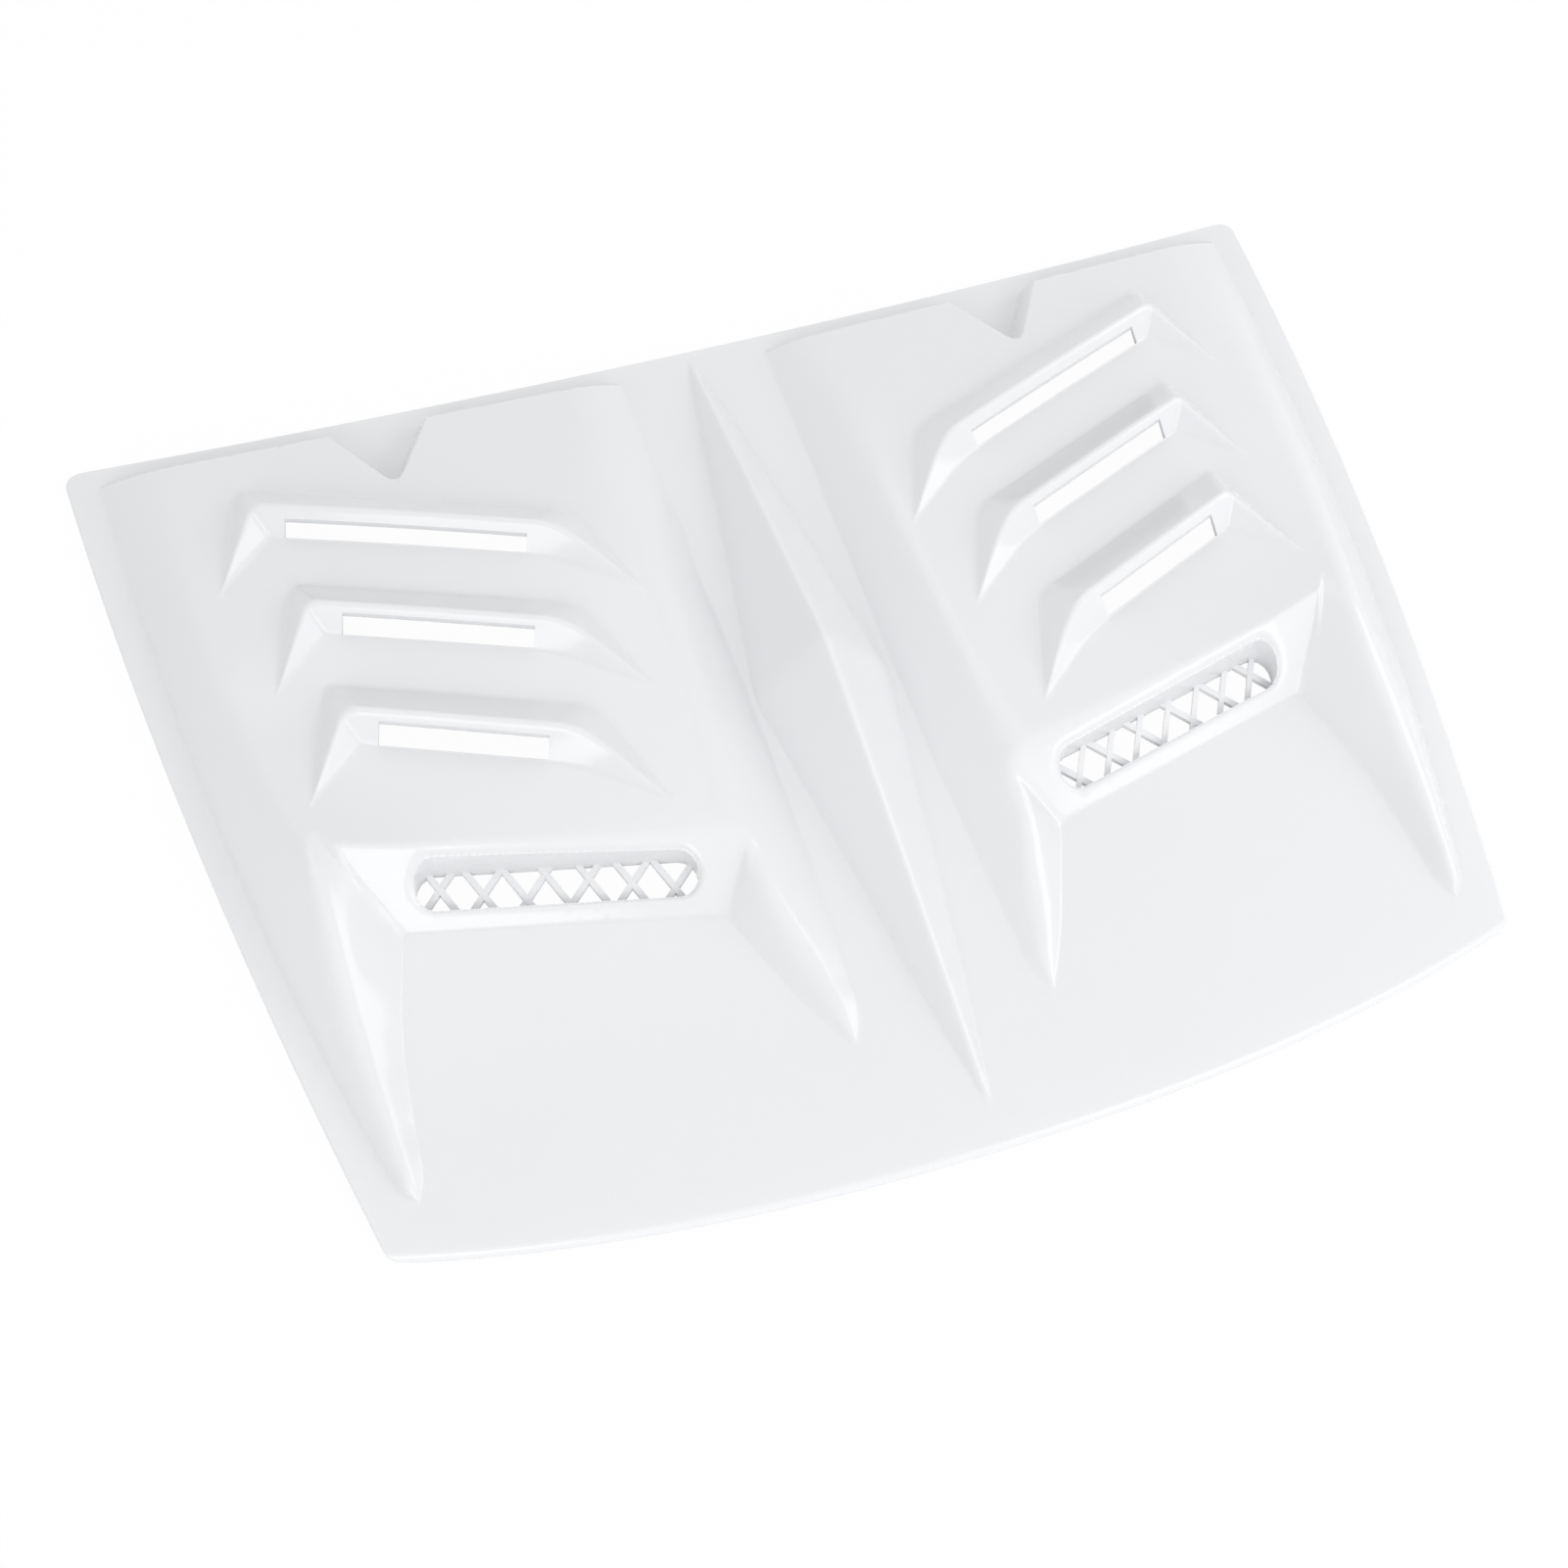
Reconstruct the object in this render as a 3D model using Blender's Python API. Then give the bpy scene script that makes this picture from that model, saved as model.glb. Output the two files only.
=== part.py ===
"""Car bonnet vent panel: one moulded plastic skin with louvres, scoops and a centre spine.

Metres, +Z up. X runs across the car with the symmetry plane at 0, and -Y is the front.
The outer skin is a height over the plan, built from ruled and flat faces that are blended
where they meet. The underside follows it at the wall thickness. The louvre slots, the scoop
recesses and the lattices in them are cut and joined with solids drawn along the mould.
"""

import math

import bmesh
import bpy
import numpy as np
from mathutils.geometry import delaunay_2d_cdt

# Plan outline
HALF_REAR = 0.550
HALF_FRONT = 0.447
REAR_CORNER_Y = 0.404
FRONT_CORNER_Y = -0.351
SIDE_BULGE = 0.0142
REAR_SWEEP = 0.021
FRONT_BOW = 0.053
REAR_CORNER_RADIUS = 0.018
FRONT_CORNER_RADIUS = 0.011
CORNER_TRIM = 1.2
CORNER_POINTS = 7
OUTLINE_STEP = 0.028

# Skin
WALL = 0.003
STEEPEST_WALL = 2.6
CROWN_TOP = 0.015
CROWN_LONG = 0.008
CROWN_CROSS = 0.007
CROWN_HALF_LENGTH = 0.400
FRONT_LIP = 0.0055
SIDE_LIP = 0.0016
LIP_LAND = 0.0012

# Pods: the raised fields that carry the louvres
FLANGE = 0.026
STEP_RUN = 0.006
STEP_SLOPE = 2.8
POD_INNER_FOOT = ((0.360, 0.067), (-0.240, 0.067), (-0.273, 0.069), (-0.300, 0.0795))
POD_OUTER_INSET = ((0.390, 0.026), (-0.255, 0.026), (-0.294, 0.028), (-0.306, 0.030), (-0.315, 0.036))
INNER_SLOPE = ((0.360, 0.49), (0.064, 0.76), (-0.113, 0.62), (-0.170, 0.57), (-0.300, 0.50))
OUTER_SLOPE = ((0.374, 0.47), (0.165, 0.95), (0.064, 1.055), (-0.003, 1.166), (-0.120, 1.27), (-0.300, 1.27))
RAIL_INNER_X = 0.110
RAIL_MIDDLE_X = 0.290
RAIL_OUTER_INSET = 0.063
RAIL_INNER = ((0.357, 0.0250), (0.262, 0.0360), (0.165, 0.0430), (0.064, 0.0475), (-0.020, 0.0490),
              (-0.113, 0.0470))
RAIL_MIDDLE = ((0.366, 0.0255), (0.262, 0.0370), (0.165, 0.0430), (0.064, 0.0470), (-0.016, 0.0505),
               (-0.085, 0.0570))
RAIL_OUTER = ((0.374, 0.0206), (0.262, 0.0300), (0.165, 0.0385), (0.064, 0.0470), (-0.003, 0.0570),
              (-0.053, 0.0660))

# Washer jet notch in the rear edge of each pod
NOTCH_X = 0.2830
NOTCH_HALF_WIDTH = 0.030
NOTCH_DEPTH = 0.048
NOTCH_SLOPE = 2.3
NOTCH_BLEND = 0.036

# Louvres, from the rear forward; each is a hood over a slot along the foot of its front face
SWEEP = math.radians(22.4)
SLOT_FOOT = ((0.292, 0.222), (0.290, 0.118), (0.297, 0.009))
SLOT_LENGTH = (0.200, 0.154, 0.132)
SLOT_RUN = (0.0101, 0.0113, 0.0125)
HOOD_DEPTH = (0.050, 0.048, 0.054)
FACE_MARGIN = 0.013
FACE_SLOPE = 1.43
HOOD_REAR_SLOPE = 0.73
HOOD_SIDE_OUT = 0.038
HOOD_SIDE_IN = 0.0145
WING_OUT = (0.0275, -0.057)
WING_IN = (-0.084, -0.025)
SIDE_SLOPE_OUT = 1.07
SIDE_SLOPE_IN = 0.83
WING_SLOPE_OUT = 0.93
WING_SLOPE_IN = 0.86

# Scoop: a twisted face over a sunk floor, between two ridges that run forward to points
SCOOP_FOOT_IN = (0.142, -0.166)
SCOOP_FOOT_OUT = (0.374, -0.110)
SCOOP_SLOPES = (0.56, 1.02)
CHAMFER_FOOT_OUT = (0.386, -0.1195)
CHAMFER_SLOPES_OUT = (0.70, 0.56)
CHAMFER_FOOT_IN = (0.137, -0.170)
CHAMFER_SLOPE_IN = 0.53
DUCT_OUTER_INSET = ((-0.1195, 0.1047), (-0.199, 0.0789), (-0.260, 0.0604), (-0.308, 0.0443),
                    (-0.322, 0.0345))
DUCT_FOOT_IN = ((-0.100, 0.1465), (-0.130, 0.1427), (-0.170, 0.137), (-0.207, 0.123), (-0.254, 0.1036),
                (-0.300, 0.0795))
DUCT_SLOPE_OUT = ((-0.070, 0.80), (-0.110, 0.72), (-0.150, 0.63), (-0.200, 0.60), (-0.300, 0.60))
DUCT_SLOPE_IN = 0.82

# Lattice recess in the scoop face
RECESS_CENTRE = (0.2556, -0.1090)
RECESS_TURN = math.radians(13.0)
RECESS_LENGTH = 0.2155
RECESS_WIDTH = 0.0305
RECESS_WALL = 0.003
RECESS_ROUND = 0.005
RECESS_ROUND_SHARE = 0.9
RECESS_ARC_STEPS = 8
LATTICE_HEIGHT = 0.0158
LATTICE_TILT = 0.45
LATTICE_DEPTH = 0.004
BAR_WIDTH = 0.0046
BAR_STAGGER = 0.0004
RECESS_RIM = 0.0015
BARS_FORWARD = 7
BARS_FORWARD_PITCH = 0.1332 * RECESS_LENGTH
BARS_FORWARD_TURN = math.radians(51.5)
BARS_BACK = 6
BARS_BACK_PITCH = 0.1731 * RECESS_LENGTH
BARS_BACK_TURN = math.radians(129.5)

# Centre spine: four facets that meet in a peak
SPINE_REAR_Y = 0.3716
SPINE_FRONT_Y = -0.370
SPINE_PEAK_Y = 0.0164
SPINE_HALF_WIDTH = 0.0543
SPINE_WIDEST_Y = 0.0103
SPINE_HEIGHT = 0.0600
SPINE_CREST = 0.003
SPINE_PEAK_BLEND = 0.04

# Blends, as the height over which two faces run into each other
POD_CREST_BLEND = 0.006
HOOD_CREST_BLEND = 0.004
FOOT_BLEND = 0.0025
STEP_BLEND = 0.002

# Meshing: the widest grid cell, then the smallest cell and the sag that halves a larger one
OPEN_CELL = 0.020
OUTER_CELLS = (0.00125, 0.00010)
UNDER_CELLS = (0.00500, 0.00050)
OUTER_ROWS = (0.3, 1.0)
UNDER_ROWS = (1.0, 2.0)
ROW_CLEAR = 0.95
GRID_CLEAR = 2.2
FACETS = 9000
SLOPE_REACH = 0.0005

# Cutters run from below the panel to above it
CUT_BOTTOM = -0.05
CUT_TOP = 0.12

PLASTIC_WHITE = (0.86, 0.86, 0.85, 1.0)
PLASTIC_ROUGHNESS = 0.25


def smooth_max(a, b, blend):
    """The higher of two heights, rounded where they lie closer than the blend."""
    near = np.maximum(blend - np.abs(a - b), 0.0)
    return np.maximum(a, b) + near * near / (4.0 * blend)


def smooth_min(a, b, blend):
    """The lower of two heights, rounded where they lie closer than the blend."""
    return -smooth_max(-a, -b, blend)


def along(stations, y):
    """A smooth curve through (y, value) stations, carried on straight past its ends."""
    ys, values = np.array(sorted(stations)).T
    slopes = np.gradient(values, ys)
    i = np.clip(np.searchsorted(ys, y) - 1, 0, len(ys) - 2)
    step = ys[i + 1] - ys[i]
    t = np.clip((y - ys[i]) / step, 0.0, 1.0)
    inside = (values[i] * (1 + 2 * t) * (1 - t) ** 2 + slopes[i] * step * t * (1 - t) ** 2
              + values[i + 1] * (3 - 2 * t) * t ** 2 - slopes[i + 1] * step * (1 - t) * t ** 2)
    past = slopes[0] * np.minimum(y - ys[0], 0.0) + slopes[-1] * np.maximum(y - ys[-1], 0.0)
    return inside + past


def rise(x, y, start, end, slope):
    """The height of a flat face over the plan, rising to the left of its foot line."""
    dx = end[0] - start[0]
    dy = end[1] - start[1]
    left = dx * (y - start[1]) - dy * (x - start[0])
    return slope * left / math.hypot(dx, dy)


def turned(x, y, origin, angle):
    """The plan point in axes that start at the origin and are turned by the angle."""
    dx = x - origin[0]
    dy = y - origin[1]
    return (dx * math.cos(angle) + dy * math.sin(angle),
            dy * math.cos(angle) - dx * math.sin(angle))


def side_edge(y):
    share = (y - FRONT_CORNER_Y) / (REAR_CORNER_Y - FRONT_CORNER_Y)
    return HALF_FRONT + (HALF_REAR - HALF_FRONT) * share + SIDE_BULGE * 4 * share * (1 - share)


def rear_edge(x):
    return REAR_CORNER_Y - REAR_SWEEP * (1 - (x / HALF_REAR) ** 2)


def front_edge(x):
    share = (x / HALF_FRONT) ** 2
    return FRONT_CORNER_Y - FRONT_BOW * (1 - 0.79 * share - 0.21 * share ** 2)


def crown(x, y):
    """The doubly curved ground that the flange, the valleys and the scoop floors lie on."""
    return CROWN_TOP - CROWN_LONG * (y / CROWN_HALF_LENGTH) ** 2 - CROWN_CROSS * (x / HALF_REAR) ** 2


def pod_top(x, y):
    """A parabola across three rails, the outer one parallel to the side edge."""
    outer = side_edge(y) - RAIL_OUTER_INSET
    inner_part = ((x - RAIL_MIDDLE_X) * (x - outer)
                  / ((RAIL_INNER_X - RAIL_MIDDLE_X) * (RAIL_INNER_X - outer)))
    middle_part = ((x - RAIL_INNER_X) * (x - outer)
                   / ((RAIL_MIDDLE_X - RAIL_INNER_X) * (RAIL_MIDDLE_X - outer)))
    outer_part = ((x - RAIL_INNER_X) * (x - RAIL_MIDDLE_X)
                  / ((outer - RAIL_INNER_X) * (outer - RAIL_MIDDLE_X)))
    return (inner_part * along(RAIL_INNER, y) + middle_part * along(RAIL_MIDDLE, y)
            + outer_part * along(RAIL_OUTER, y))


def hood(x, y, number):
    """The height that one louvre adds: a hood with a steep face between two wings."""
    u, v = turned(x, y, SLOT_FOOT[number], SWEEP)
    half = SLOT_LENGTH[number] / 2 + FACE_MARGIN
    depth = HOOD_DEPTH[number]
    rear_out = (half + HOOD_SIDE_OUT, depth)
    rear_in = (-half - HOOD_SIDE_IN, depth)
    face_out = (half, 0.0)
    face_in = (-half, 0.0)
    tip_out = (half + WING_OUT[0], WING_OUT[1])
    tip_in = (-half + WING_IN[0], WING_IN[1])
    front = smooth_max(rise(u, v, face_in, face_out, FACE_SLOPE),
                       smooth_max(rise(u, v, face_out, tip_out, WING_SLOPE_OUT),
                                  rise(u, v, tip_in, face_in, WING_SLOPE_IN), FOOT_BLEND), FOOT_BLEND)
    sides = smooth_min(rise(u, v, tip_out, rear_out, SIDE_SLOPE_OUT),
                       rise(u, v, rear_in, tip_in, SIDE_SLOPE_IN), HOOD_CREST_BLEND)
    back = smooth_min(rise(u, v, rear_out, rear_in, HOOD_REAR_SLOPE), sides, HOOD_CREST_BLEND)
    return smooth_max(smooth_min(front, back, HOOD_CREST_BLEND), 0.0 * u, FOOT_BLEND)


def notch_cut(x, y):
    """The steep V walls of the washer jet notch, above the crown."""
    tip_y = REAR_CORNER_Y - REAR_SWEEP - FLANGE - NOTCH_DEPTH
    mouth_y = tip_y + NOTCH_DEPTH
    outboard = rise(x, y, (NOTCH_X + NOTCH_HALF_WIDTH, mouth_y), (NOTCH_X, tip_y), NOTCH_SLOPE)
    inboard = rise(x, y, (NOTCH_X, tip_y), (NOTCH_X - NOTCH_HALF_WIDTH, mouth_y), NOTCH_SLOPE)
    return smooth_max(outboard, inboard, NOTCH_BLEND)


def twisted(x, y, start, end, slopes, shares=(0.0, 1.0)):
    """The height of a ruled face whose slope changes evenly along its foot line."""
    run = (end[0] - start[0], end[1] - start[1])
    share = ((x - start[0]) * run[0] + (y - start[1]) * run[1]) / (run[0] ** 2 + run[1] ** 2)
    slope = slopes[0] + (slopes[1] - slopes[0]) * np.clip(share, *shares)
    return slope * rise(x, y, start, end, 1.0)


def scoop_cut(x, y):
    """The twisted scoop face, the two chamfers beside it and the two duct walls, above the crown."""
    face = twisted(x, y, SCOOP_FOOT_IN, SCOOP_FOOT_OUT, SCOOP_SLOPES)
    chamfer_out = twisted(x, y, SCOOP_FOOT_OUT, CHAMFER_FOOT_OUT, CHAMFER_SLOPES_OUT, (-2.0, 1.5))
    chamfer_in = rise(x, y, CHAMFER_FOOT_IN, SCOOP_FOOT_IN, CHAMFER_SLOPE_IN)
    duct_out = along(DUCT_SLOPE_OUT, y) * (x - side_edge(y) + along(DUCT_OUTER_INSET, y))
    duct_in = DUCT_SLOPE_IN * (along(DUCT_FOOT_IN, y) - x)
    outboard = smooth_max(chamfer_out, duct_out, FOOT_BLEND)
    inboard = smooth_max(chamfer_in, duct_in, FOOT_BLEND)
    return smooth_max(face, smooth_max(outboard, inboard, FOOT_BLEND), FOOT_BLEND)


def pod(x, y):
    """One raised field with its louvres, cut by its side faces, rear step, notch and scoop."""
    ground = crown(x, y)
    top = pod_top(x, y)
    for number in range(len(SLOT_FOOT)):
        top = top + hood(x, y, number)
    outer = ground + along(OUTER_SLOPE, y) * (side_edge(y) - along(POD_OUTER_INSET, y) - x)
    inner = ground + along(INNER_SLOPE, y) * (x - along(POD_INNER_FOOT, y))
    rear = ground + STEP_SLOPE * (rear_edge(x) - FLANGE + STEP_RUN - y)
    body = smooth_min(smooth_min(top, outer, POD_CREST_BLEND), inner, POD_CREST_BLEND)
    body = smooth_min(body, rear, STEP_BLEND)
    body = smooth_min(body, ground + notch_cut(x, y), STEP_BLEND)
    return smooth_min(body, ground + scoop_cut(x, y), HOOD_CREST_BLEND)


def spine(x, y):
    """The height of the four-faceted spine above the crown."""
    off_centre = np.sqrt(x * x + SPINE_CREST ** 2) - SPINE_CREST
    corner = (SPINE_HALF_WIDTH, SPINE_WIDEST_Y)
    peak = (0.0, SPINE_PEAK_Y)
    rear_tip = (0.0, SPINE_REAR_Y)
    front_tip = (0.0, SPINE_FRONT_Y)
    rear = rise(off_centre, y, corner, rear_tip, 1.0) / rise(*peak, corner, rear_tip, 1.0)
    front = rise(off_centre, y, front_tip, corner, 1.0) / rise(*peak, front_tip, corner, 1.0)
    return SPINE_HEIGHT * smooth_min(rear, front, SPINE_PEAK_BLEND)


def lip_drop(x, y):
    """How far the rounded edge has turned down, from the distance to each edge."""
    front = np.clip(FRONT_LIP - (y - front_edge(x)), 0.0, FRONT_LIP)
    side = np.clip(SIDE_LIP - (side_edge(y) - x), 0.0, SIDE_LIP)
    return (FRONT_LIP - np.sqrt(FRONT_LIP ** 2 - front ** 2)
            + SIDE_LIP - np.sqrt(SIDE_LIP ** 2 - side ** 2))


def rim_drop(x, y):
    """How far the rounded rim of the scoop recess has turned in, from the distance to its wall."""
    u, v = turned(x, y, RECESS_CENTRE, RECESS_TURN)
    straight = RECESS_LENGTH / 2 - RECESS_WIDTH / 2
    away = np.hypot(np.maximum(np.abs(u) - straight, 0.0), v) - RECESS_WIDTH / 2
    turned_in = np.clip(RECESS_ROUND - away, 0.0, RECESS_ROUND_SHARE * RECESS_ROUND)
    return RECESS_ROUND - np.sqrt(RECESS_ROUND ** 2 - turned_in ** 2)


def skin(x, y):
    """The outer surface without its turned-down edge."""
    x = np.abs(x)
    ground = crown(x, y)
    raised = smooth_max(smooth_max(ground, pod(x, y), FOOT_BLEND), ground + spine(x, y), FOOT_BLEND)
    return raised - rim_drop(x, y)


def outer_height(x, y):
    return skin(x, y) - lip_drop(np.abs(x), y)


def inner_height(x, y):
    """The underside, one wall thickness in from the skin and below the rolled front lip."""
    slope_x = (skin(x + SLOPE_REACH, y) - skin(x - SLOPE_REACH, y)) / (2 * SLOPE_REACH)
    slope_y = (skin(x, y + SLOPE_REACH) - skin(x, y - SLOPE_REACH)) / (2 * SLOPE_REACH)
    steep = np.minimum(np.sqrt(1 + slope_x ** 2 + slope_y ** 2), STEEPEST_WALL)
    under = skin(x, y) - WALL * steep
    fade = np.clip(2 - (y - front_edge(np.abs(x))) / FRONT_LIP, 0.0, 1.0)
    return under + fade * np.minimum(crown(x, y) - FRONT_LIP - LIP_LAND - under, 0.0)


def rounded(points, corner, radius):
    """Replace one corner of an outline by an arc-like curve of the given reach."""
    before = np.array(points[corner - 1])
    tip = np.array(points[corner])
    after = np.array(points[corner + 1])
    start = tip + (before - tip) * radius / np.linalg.norm(before - tip)
    end = tip + (after - tip) * radius / np.linalg.norm(after - tip)
    curve = [(1 - t) ** 2 * start + 2 * t * (1 - t) * tip + t ** 2 * end
             for t in np.linspace(0, 1, CORNER_POINTS)]
    return points[:corner] + [tuple(p) for p in curve] + points[corner + 1:]


def half_outline():
    """The outline of the right-hand half, from the front of the centre line to its rear."""
    def steps(length):
        return max(2, round(length / OUTLINE_STEP))

    front = [(x, front_edge(x)) for x in np.linspace(0, HALF_FRONT, steps(HALF_FRONT))]
    trim = FRONT_CORNER_RADIUS * CORNER_TRIM
    front = [p for p in front[:-1] if p[0] < HALF_FRONT - trim] + [front[-1]]
    side_y = np.linspace(FRONT_CORNER_Y, REAR_CORNER_Y, steps(REAR_CORNER_Y - FRONT_CORNER_Y))[1:]
    side = [(side_edge(y), y) for y in side_y if y > FRONT_CORNER_Y + trim]
    trim = REAR_CORNER_RADIUS * CORNER_TRIM
    side = [p for p in side[:-1] if p[1] < REAR_CORNER_Y - trim] + [side[-1]]
    rear = [(x, rear_edge(x)) for x in np.linspace(HALF_REAR, 0, steps(HALF_REAR))[1:]]
    rear = [p for p in rear if p[0] < HALF_REAR - trim]
    points = rounded(front + side + rear, len(front) - 1, FRONT_CORNER_RADIUS)
    rear_corner = max(range(len(points)), key=lambda i: points[i][0] + points[i][1])
    return rounded(points, rear_corner, REAR_CORNER_RADIUS)


def inside_distance(px, py, outline):
    """Each point's distance to the outline, negative outside it."""
    a = np.array(outline)
    b = np.roll(a, -1, axis=0)
    d = b - a
    near = np.full(px.shape, np.inf)
    crossings = np.zeros(px.shape, dtype=int)
    for (ax, ay), (bx, by), (dx, dy) in zip(a, b, d):
        t = np.clip(((px - ax) * dx + (py - ay) * dy) / (dx * dx + dy * dy), 0.0, 1.0)
        on_centre = ax == 0.0 and bx == 0.0
        if not on_centre:
            near = np.minimum(near, np.hypot(px - ax - t * dx, py - ay - t * dy))
        straddles = (ay > py) != (by > py)
        crossings += straddles & (px < ax + (py - ay) * dx / (dy if dy else 1.0))
    return np.where(crossings % 2 == 1, near, -near)


def bend_points(smallest, allowed_sag):
    """Corners of square cells over the half plan, halved wherever the skin bends inside them."""
    xs = np.arange(0.0, HALF_REAR + OPEN_CELL, OPEN_CELL)
    ys = np.arange(-HALF_REAR, HALF_REAR, OPEN_CELL)
    x, y = (a.ravel() for a in np.meshgrid(xs, ys))
    size = OPEN_CELL
    corners = []
    while len(x):
        h = np.array([[skin(x + i * size / 2, y + j * size / 2) for j in range(3)] for i in range(3)])
        sag = [h[0, 0] + h[2, 0] - 2 * h[1, 0], h[0, 2] + h[2, 2] - 2 * h[1, 2],
               h[0, 0] + h[0, 2] - 2 * h[0, 1], h[2, 0] + h[2, 2] - 2 * h[2, 1],
               h[0, 0] + h[2, 2] - 2 * h[1, 1], h[0, 2] + h[2, 0] - 2 * h[1, 1]]
        bends = (np.abs(sag).max(axis=0) > 2 * allowed_sag) & (size > smallest * 1.5)
        for i, j in ((0, 0), (1, 0), (0, 1), (1, 1)):
            corners.append(np.stack([x[~bends] + i * size, y[~bends] + j * size], axis=1))
        size /= 2
        x = np.concatenate([x[bends] + i * size for i in (0, 1, 0, 1)])
        y = np.concatenate([y[bends] + j * size for j in (0, 0, 1, 1)])
    steps = np.round(np.concatenate(corners) / smallest).astype(int)
    return np.unique(steps, axis=0) * smallest


def lip_rows(outline, reaches):
    """Rows of points that follow the outline at the given shares of the lip inside it."""
    ring = np.array(outline)
    ahead = np.gradient(ring, axis=0)
    ahead[[0, -1], 1] = 0.0
    inward = np.stack([-ahead[:, 1], ahead[:, 0]], axis=1)
    inward /= np.linalg.norm(inward, axis=1)[:, None]
    rows = []
    for reach in reaches:
        row = ring + inward * reach * FRONT_LIP
        clear = inside_distance(row[:, 0] + 1e-6, row[:, 1], outline) > ROW_CLEAR * reach * FRONT_LIP
        rows.append([tuple(p) for p in row[clear]])
    return rows


def plan_triangles(outline, rows, cells):
    """Triangles over the half plan: its outline, the rows along its lip and the grid inside them."""
    points = list(outline)
    edges = [(i, (i + 1) % len(outline)) for i in range(len(outline))]
    for row in rows:
        edges += [(len(points) + i, len(points) + i + 1) for i in range(len(row) - 1)]
        points += row
    x, y = bend_points(*cells).T
    keep = inside_distance(x + 1e-6, y, outline) > GRID_CLEAR * FRONT_LIP
    kept = len(points)
    points += [(px, py) for px, py in zip(x[keep], y[keep])]
    verts, _, faces, *_ = delaunay_2d_cdt(points, edges, [], 1, 1e-6)
    return np.array([(v.x, v.y) for v in verts]), [tuple(f) for f in faces], kept


def half_shell():
    """The right-hand half of the skin, open only on the centre plane, and the vertices of its edge."""
    outline = half_outline()
    verts = []
    faces = []
    edge = []
    for height, reaches, cells in ((outer_height, OUTER_ROWS, OUTER_CELLS),
                                   (inner_height, UNDER_ROWS, UNDER_CELLS)):
        plan, plan_faces, kept = plan_triangles(outline, lip_rows(outline, reaches), cells)
        x = np.where(np.abs(plan[:, 0]) < 1e-6, 0.0, plan[:, 0])
        below = len(verts)
        verts += [tuple(v) for v in np.stack([x, plan[:, 1], height(x, plan[:, 1])], axis=1)]
        edge += range(below, below + kept)
        faces += [tuple(below + i for i in (reversed(face) if below else face)) for face in plan_faces]
    for i, j in zip(range(len(outline)), [*range(1, len(outline)), 0]):
        if outline[i][0] > 1e-6 or outline[j][0] > 1e-6:
            faces.append((j, i, below + i, below + j))
    return verts, faces, edge


def mesh_object(name, verts, faces):
    mesh = bpy.data.meshes.new(name)
    mesh.from_pydata(verts, [], faces)
    mesh.validate()
    obj = bpy.data.objects.new(name, mesh)
    bpy.context.collection.objects.link(obj)
    return obj


def hidden_guide(obj):
    """Face the guide outward and keep it out of renders."""
    edit = bmesh.new()
    edit.from_mesh(obj.data)
    bmesh.ops.recalc_face_normals(edit, faces=edit.faces)
    edit.to_mesh(obj.data)
    edit.free()
    obj.hide_render = True
    obj.display_type = "WIRE"
    return obj


def guide_object(name, prisms):
    """One hidden cutter or filler made of closed prisms, given as (outline, bottom, top)."""
    verts = []
    faces = []
    for outline, bottom, top in prisms:
        first = len(verts)
        count = len(outline)
        verts += [(x, y, bottom(x, y)) for x, y in outline] + [(x, y, top(x, y)) for x, y in outline]
        faces.append(tuple(first + i for i in reversed(range(count))))
        faces.append(tuple(first + count + i for i in range(count)))
        for i in range(count):
            j = (i + 1) % count
            faces.append((first + i, first + j, first + count + j, first + count + i))
    return hidden_guide(mesh_object(name, verts, faces))


def tube_object(name, tubes):
    """One hidden filler made of closed tube walls, given as (inner, outer, bottom, inner_top, outer_top)."""
    verts = []
    faces = []
    for inner, outer, bottom, inner_top, outer_top in tubes:
        first = len(verts)
        count = len(inner)
        loops = [(inner, bottom), (outer, bottom), (outer, outer_top), (inner, inner_top)]
        for loop, height in loops:
            verts += [(x, y, height(x, y)) for x, y in loop]
        for k in range(4):
            for i in range(count):
                j = (i + 1) % count
                a, b = first + k * count, first + (k + 1) % 4 * count
                faces.append((a + i, a + j, b + j, b + i))
    return hidden_guide(mesh_object(name, verts, faces))


def placed(points, origin, angle, side):
    """Local plan points turned into place on one side of the symmetry plane."""
    cos, sin = math.cos(angle), math.sin(angle)
    return [(side * (origin[0] + u * cos - v * sin), origin[1] + u * sin + v * cos) for u, v in points]


def recess_outline(grow, first_step=0.0):
    """A slot with round ends, in its own axes, whose arcs start a share of a step in."""
    radius = RECESS_WIDTH / 2 + grow
    half = RECESS_LENGTH / 2 - RECESS_WIDTH / 2
    points = []
    for end, start in ((1, -math.pi / 2), (-1, math.pi / 2)):
        for step in np.arange(first_step, RECESS_ARC_STEPS + 0.1):
            angle = start + math.pi * step / RECESS_ARC_STEPS
            points.append((end * half + radius * math.cos(angle), radius * math.sin(angle)))
    return points


def lattice_plane(offset):
    """A plane parallel to the lattice, a given height above its middle."""
    def height(x, y):
        _, v = turned(abs(x), y, RECESS_CENTRE, RECESS_TURN)
        return LATTICE_HEIGHT + LATTICE_TILT * v + offset
    return height


def level(height):
    return lambda x, y: height


def under_skin(depth):
    """A surface that runs the given depth below the outer skin."""
    return lambda x, y: float(skin(np.array(x), np.array(y))) - depth


def end_of_line(start, angle):
    """Where a line from the long axis of the recess reaches the middle of its wall."""
    straight = RECESS_LENGTH / 2 - RECESS_WIDTH / 2
    near, far = 0.0, RECESS_LENGTH
    for _ in range(40):
        reach = (near + far) / 2
        u = start + reach * math.cos(angle)
        v = reach * math.sin(angle)
        if math.hypot(max(abs(u) - straight, 0.0), v) < RECESS_WIDTH / 2 + RECESS_WALL / 2:
            near = reach
        else:
            far = reach
    return u, v


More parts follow.
